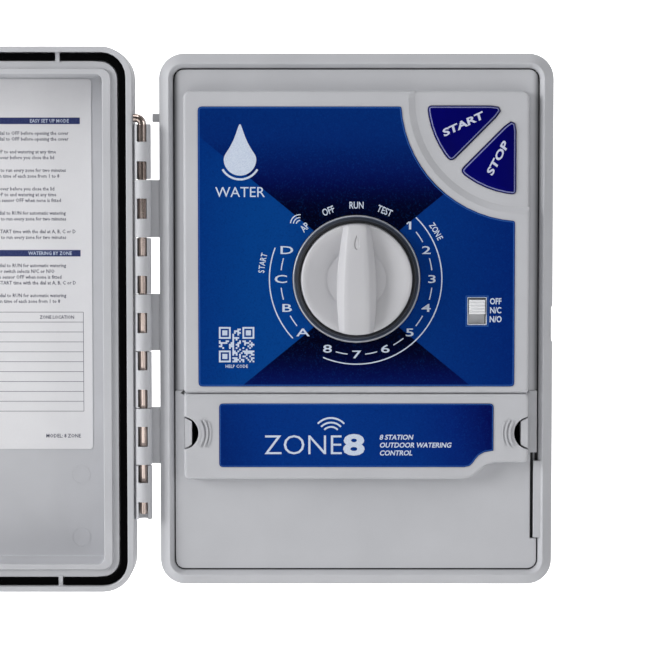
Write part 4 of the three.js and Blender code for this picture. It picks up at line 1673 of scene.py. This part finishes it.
@dataclass
class TerminalCover:
    """The pull-off wiring cover with its film, print and release tabs."""

    finishes: Finishes
    edge: float = 0.3
    margin: float = 0.3
    border: float = 0.4
    tab_height: float = -54.1
    rib_centre: float = 84.2
    rib_height: float = 0.45
    rib_span: float = 64.0
    rib_width: float = 0.9
    name_height: float = 9.4
    name_level: float = -59.6
    wave_place: tuple[float, float] = (-12.2, -55.4)
    wave_spread: float = 47.0
    wave_width: float = 0.85
    lines_place: tuple[float, float] = (11.3, -56.0)
    line_pitch: float = 3.8

    def build(self) -> None:
        """Builds the cover, its film, its print and its tabs."""
        refined("terminal_cover", [self.finishes.cover], Body.COVER, self.edge, 3)
        self.film()
        self.print()
        refined("release_tab_left", [self.finishes.cover], Body.TAB_LEFT, 0.3)
        refined("release_tab_right", [self.finishes.cover], Body.TAB_RIGHT, 0.3)
        self.ribs()

    def film(self) -> None:
        """Lays the blue film with its lighter edge line."""
        shape, line = bordered("cover_label", self.margin, self.border)
        for face in line:
            face.material_index = 1
        dress = [self.finishes.cover_film, self.finishes.film_edge]
        made = piece("cover_film", shape, dress, Body.COVER)
        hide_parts("cover_label")

    def print(self) -> None:
        """Prints the zone count under its waves, and three plain lines."""
        layer = Printing(-limits("cover_label")[0].y)
        layer.word("ZONE", -25.6, self.name_level, self.name_height, 1.02, 0, -0.12)
        layer.word("8", -1.2, self.name_level, self.name_height, 1.5, 0, 0.5)
        for radius in (4.4, 6.5, 8.7):
            layer.arc(*self.wave_place, radius, -self.wave_spread, self.wave_spread, self.wave_width)
        x, top = self.lines_place
        for index, text in enumerate(("8 STATION", "OUTDOOR WATERING", "CONTROL")):
            layer.word(text, x, top - self.line_pitch * index, 2.3, 0.98, 0, 0.08, 0.2, "LEFT")
        layer.lay("cover_print", [self.finishes.ink], Body.COVER)

    def ribs(self) -> None:
        """Raises two curved finger ribs inboard of each tab."""
        layer = Printing(-limits("terminal_cover")[0].y)
        for side, start in ((-1, 58), (1, 238)):
            for radius in (10.4, 12.4):
                end = start + self.rib_span
                layer.arc(side * self.rib_centre, self.tab_height, radius, start, end, self.rib_width)
        thicken(layer.shape, self.rib_height)
        piece("finger_ribs", layer.shape, [self.finishes.cover], Body.COVER)


@dataclass
class Lid:
    """The lid, swung open to the left: shell, gasket, paper label and its print."""

    finishes: Finishes
    edge: float = 0.35
    gasket_edge: float = 0.6
    column: tuple[float, float] = (68.0, 70.0)
    bar_levels: tuple[float, float] = (97.0, 31.9)
    bar_height: float = 3.2
    text_ends: tuple[float, float] = (38.0, 8.0)
    text_indent: float = 49.0
    text_height: float = 1.75
    line_pitch: float = 2.85
    paragraph_gap: float = 3.4
    table_top: float = 2.8
    table_pitch: float = 4.91
    table_rows: int = 10
    rule: float = 0.22
    mark_radius: float = 4.5
    mark_width: float = 0.45
    mark_places: tuple[float, float, float] = (-136.2, -77.9, -109.1)
    mark_height: float = 0.12
    sentences: tuple[str, ...] = (
        "Turn the dial to OFF before opening the cover",
        "Set each START time with the dial at A, B, C or D",
        "Press START to water one zone by hand",
        "Press STOP to end watering at any time",
        "Turn the dial to RUN for automatic watering",
        "Set the run time of each zone from 1 to 8",
        "The sensor switch selects N/C or N/O",
        "Use TEST to run every zone for two minutes",
        "Switch the sensor OFF when none is fitted",
        "Refit the cover before you close the lid",
    )

    def build(self) -> None:
        """Builds the lid and everything fixed to it."""
        refined("lid_shell", [self.finishes.lid], Body.LID, self.edge, 3)
        for node in ("gasket_long", "gasket_short"):
            refined(node, [self.finishes.foam], Body.LID, self.gasket_edge, 3)
        shape = copied("lid_label")
        made = piece("lid_paper", shape, [self.finishes.paper], Body.LID)
        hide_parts("lid_label")
        self.print()
        self.marks()

    def print(self) -> None:
        """Prints headings, lines of small text and a ruled table on the label."""
        low, high = limits("lid_label")
        layer = Printing(-low.y)
        right = high.x - 5.6
        left = low.x + 4.5
        dice = random.Random(11)
        for start, end, headings in (
            (left, left + self.column[0], ("QUICK GUIDE", "TURN THE DIAL TO")),
            (right - self.column[1], right, ("EASY SET UP MODE", "WATERING BY ZONE")),
        ):
            for bar, heading, stop in zip(self.bar_levels, headings, self.text_ends):
                layer.bar((start + end) / 2, bar, end - start, self.bar_height, number=1)
                layer.word(heading, end - 15, bar, 1.7, 0.9, 0, 0.04, number=2)
                self._paragraphs(layer, dice, end - self.text_indent, bar - 6.0, stop)
        self.table(layer, left, right + 1.2)
        layer.word("MODEL: 8 ZONE", right - 9, -58.5, 1.8, 0.9, 0, 0.04)
        dress = [self.finishes.text_ink, self.finishes.heading_ink, self.finishes.ink]
        layer.lay("lid_print", dress, Body.LID)

    def _paragraphs(
        self, layer: Printing, dice: random.Random, start: float, top: float, stop: float
    ) -> None:
        """Prints lines of plain instructions, with a gap between paragraphs.

        Args:
            layer: The print.
            dice: The source of the lines' order.
            start: The X of their left ends.
            top: The Z of the first line.
            stop: The Z below which no line goes.
        """
        z = top
        while z > stop:
            for _ in range(dice.choice((2, 3, 4))):
                if z <= stop:
                    break
                text = dice.choice(self.sentences)
                layer.word(text, start, z, self.text_height, 0.9, 0, 0.03, align="LEFT")
                z -= self.line_pitch
            z -= self.paragraph_gap

    def table(self, layer: Printing, left: float, right: float) -> None:
        """Rules the table where the owner notes what each zone waters.

        Args:
            layer: The print.
            left: The X of its left edge.
            right: The X of its right edge.
        """
        middle = (left + right) / 2
        for row in range(self.table_rows + 1):
            layer.bar(middle, self.table_top - row * self.table_pitch, right - left, self.rule)
        height = self.table_rows * self.table_pitch
        for x in (left, middle, right):
            layer.bar(x, self.table_top - height / 2, self.rule, height)
        level = self.table_top - self.table_pitch / 2
        layer.word("ZONE LOCATION", right - 13, level, 1.6, 0.9, 0, 0.04)

    def marks(self) -> None:
        """Raises the two ring marks that the mould leaves on the lid's floor."""
        floor = -limits("lid_label")[1].y
        layer = Printing(floor - Printing.LIFT)
        x, *heights = self.mark_places
        for z in heights:
            layer.arc(x, z, self.mark_radius, 0, 360, self.mark_width)
        bmesh.ops.remove_doubles(layer.shape, verts=layer.shape.verts, dist=0.003)
        thicken(layer.shape, self.mark_height)
        piece("mould_marks", layer.shape, [self.finishes.lid], Body.LID)


@dataclass
class Hinge:
    """The steel pin that the lid swings on."""

    finishes: Finishes
    radius: float = 2.0
    bend: float = 3.0
    chamfer: float = 0.5
    sides: int = 32
    bend_steps: int = 6

    def build(self) -> None:
        """Bends the pin from round wire."""
        low, high = limits("hinge_pin")
        x = high.x - self.radius
        front = (-low.y - high.y) / 2
        foot = at(x, front, low.z)
        corner = at(x - self.bend, front, high.z - self.radius - self.bend)
        shape = bmesh.new()
        bmesh.ops.create_circle(
            shape,
            cap_ends=True,
            radius=self.radius - self.chamfer,
            segments=self.sides,
            matrix=Matrix.Translation(foot),
        )
        rim = list(shape.edges)
        wider = self.radius / (self.radius - self.chamfer)
        rim = self._pull(shape, rim, Matrix.Translation((0, 0, self.chamfer)), wider, foot)
        rise = corner.z - low.z - self.chamfer
        rim = self._pull(shape, rim, Matrix.Translation((0, 0, rise)), 1.0, foot)
        lean = Matrix.Rotation(math.radians(-90 / self.bend_steps), 4, "Y")
        turn = Matrix.Translation(corner) @ lean @ Matrix.Translation(-corner)
        for _ in range(self.bend_steps):
            rim = self._pull(shape, rim, turn, 1.0, corner)
        rim = self._pull(shape, rim, Matrix.Translation((low.x - corner.x, 0, 0)), 1.0, corner)
        bmesh.ops.contextual_create(shape, geom=rim)
        bmesh.ops.recalc_face_normals(shape, faces=shape.faces)
        pin = piece("pin_wire", shape, [self.finishes.pin], Body.LID, 50)
        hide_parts("hinge_pin")

    @staticmethod
    def _pull(shape: bmesh.types.BMesh, ring: list, move: Matrix, grow: float, centre: Vector) -> list:
        """Draws a ring of edges on into a new one.

        Args:
            shape: The shape.
            ring: The edges of the open end.
            move: Where the new ring goes, from the old one.
            grow: How much wider the new ring is.
            centre: The point that it widens from.

        Returns:
            The new ring's edges.
        """
        grown = bmesh.ops.extrude_edge_only(shape, edges=ring)
        verts = [part for part in grown["geom"] if isinstance(part, bmesh.types.BMVert)]
        edges = [part for part in grown["geom"] if isinstance(part, bmesh.types.BMEdge)]
        fresh = set(verts)
        edges = [edge for edge in edges if fresh.issuperset(edge.verts)]
        home = Matrix.Translation(centre)
        wide = home @ Matrix.Diagonal((grow, grow, 1, 1)) @ home.inverted()
        bmesh.ops.transform(shape, matrix=move @ wide, verts=verts)
        return edges


@dataclass
class Wiring:
    """Everything behind the panel and the cover, each node dressed as it stands."""

    finishes: Finishes

    def build(self) -> None:
        """Dresses every node that keeps its own shape."""
        wear = self.finishes
        dressed = {
            "cable_bushing": wear.black,
            "conduit_plug": wear.case,
            "transformer_core": wear.core,
            "transformer_coil": wear.coil,
            "terminal_board": wear.circuit,
            "zone_terminals": wear.terminal,
            "supply_terminals": wear.terminal,
            "fuse_holder": wear.black,
            "fuse": wear.glass,
            "ribbon_cable": wear.ribbon,
            "control_board": wear.circuit,
            "rotary_switch": wear.black,
            "start_switch": wear.black,
            "stop_switch": wear.black,
            "slide_switch": wear.white,
            "wireless_module": wear.can,
            "cell_holder": wear.black,
            "button_cell": wear.can,
            "knob_shaft": wear.black,
        }
        for kind, count in (("zone_screw", 8), ("supply_screw", 6), ("board_screw", 4)):
            for index in range(1, count + 1):
                dressed[f"{kind}_{index}"] = wear.screw
        for node, material in dressed.items():
            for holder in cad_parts[node].material_slots:
                holder.material = material
            log.info("%s wears %s", node, material.name)


@dataclass
class Studio:
    """Pale floor and backdrop, soft lights and the camera."""

    distance: float = 1.1
    lens: float = 126.2
    rise: float = 3.2
    aim: tuple[float, float, float] = (-0.0151, -0.062, -0.0021)
    sheet_size: float = 3.2
    backdrop_place: tuple[float, float, float] = (0.0, 1.4, 0.0)
    floor_place: tuple[float, float, float] = (0.0, 0.0, -0.62)
    lamps: tuple = (
        ("key", (-2.1, -1.0, 0.6), 1.1, 43.0),
        ("fill", (1.8, -1.45, 0.35), 1.2, 12.0),
        ("top", (-0.2, -0.95, 1.9), 1.2, 11.0),
    )
    air_colour: tuple[float, float, float, float] = (0.97, 0.97, 1.0, 1.0)
    air_strength: float = 0.13

    def build(self) -> None:
        """Sets up the studio."""
        hung = Matrix.Translation(self.backdrop_place) @ Matrix.Rotation(math.pi / 2, 4, "X")
        self.sheet("backdrop", hung, Backdrop("backdrop_paper", 0.75).material())
        laid = Matrix.Translation(self.floor_place)
        self.sheet("floor", laid, Backdrop("floor_paper", 0.15).material())
        self.camera()
        for lamp in self.lamps:
            self.softbox(*lamp)
        world = bpy.data.worlds.new("studio air")
        bpy.context.scene.world = world
        world.use_nodes = True
        air = world.node_tree.nodes["Background"]
        air.inputs["Color"].default_value = self.air_colour
        air.inputs["Strength"].default_value = self.air_strength
        bpy.context.scene.view_settings.view_transform = "Standard"

    def sheet(self, name: str, place: Matrix, paper: bpy.types.Material) -> None:
        """Hangs or lays one sheet.

        Args:
            name: The sheet's name.
            place: Its place.
            paper: Its finish.
        """
        shape = bmesh.new()
        bmesh.ops.create_grid(shape, x_segments=4, y_segments=4, size=self.sheet_size, matrix=place)
        mesh = bpy.data.meshes.new(name)
        shape.to_mesh(mesh)
        shape.free()
        mesh.materials.append(paper)
        made = bpy.data.objects.new(name, mesh)
        bpy.context.scene.collection.objects.link(made)

    def camera(self) -> None:
        """Stands the camera in front of the middle, a little above it."""
        lens = bpy.data.cameras.new("camera")
        lens.lens = self.lens
        lens.sensor_width = 36.0
        lens.clip_start = 0.01
        holder = bpy.data.objects.new("camera", lens)
        tilt = math.radians(self.rise)
        away = Vector((0, -math.cos(tilt), math.sin(tilt)))
        holder.location = Vector(self.aim) + away * self.distance
        holder.rotation_euler = away.to_track_quat("Z", "Y").to_euler()
        bpy.context.scene.collection.objects.link(holder)
        bpy.context.scene.camera = holder

    def softbox(self, name: str, place: tuple[float, float, float], size: float, power: float) -> None:
        """Hangs a square soft light that faces the object.

        Args:
            name: The light's name.
            place: Its place in metres.
            size: Its side in metres.
            power: Its power in watts.
        """
        lamp = bpy.data.lights.new(name, "AREA")
        lamp.size = size
        lamp.energy = power
        holder = bpy.data.objects.new(name, lamp)
        holder.location = place
        holder.rotation_euler = (Vector(place) - Vector(self.aim)).to_track_quat("Z", "Y").to_euler()
        bpy.context.scene.collection.objects.link(holder)


def main() -> None:
    """Builds every sub-assembly, then the studio."""
    logging.basicConfig(level=logging.INFO, format="%(message)s")
    ring = limits("dial_bezel")
    dial = (ring[0].z + ring[1].z) / 2
    finishes = make_finishes(dial, limits("ribbon_cable")[0].x)
    assemblies = (
        Case(finishes),
        FrontPanel(finishes, dial),
        Dial(finishes, dial),
        Buttons(finishes),
        SensorSwitch(finishes),
        TerminalCover(finishes),
        Lid(finishes),
        Hinge(finishes),
        Wiring(finishes),
        Studio(),
    )
    for assembly in assemblies:
        assembly.build()


if __name__ == "__main__":
    main()
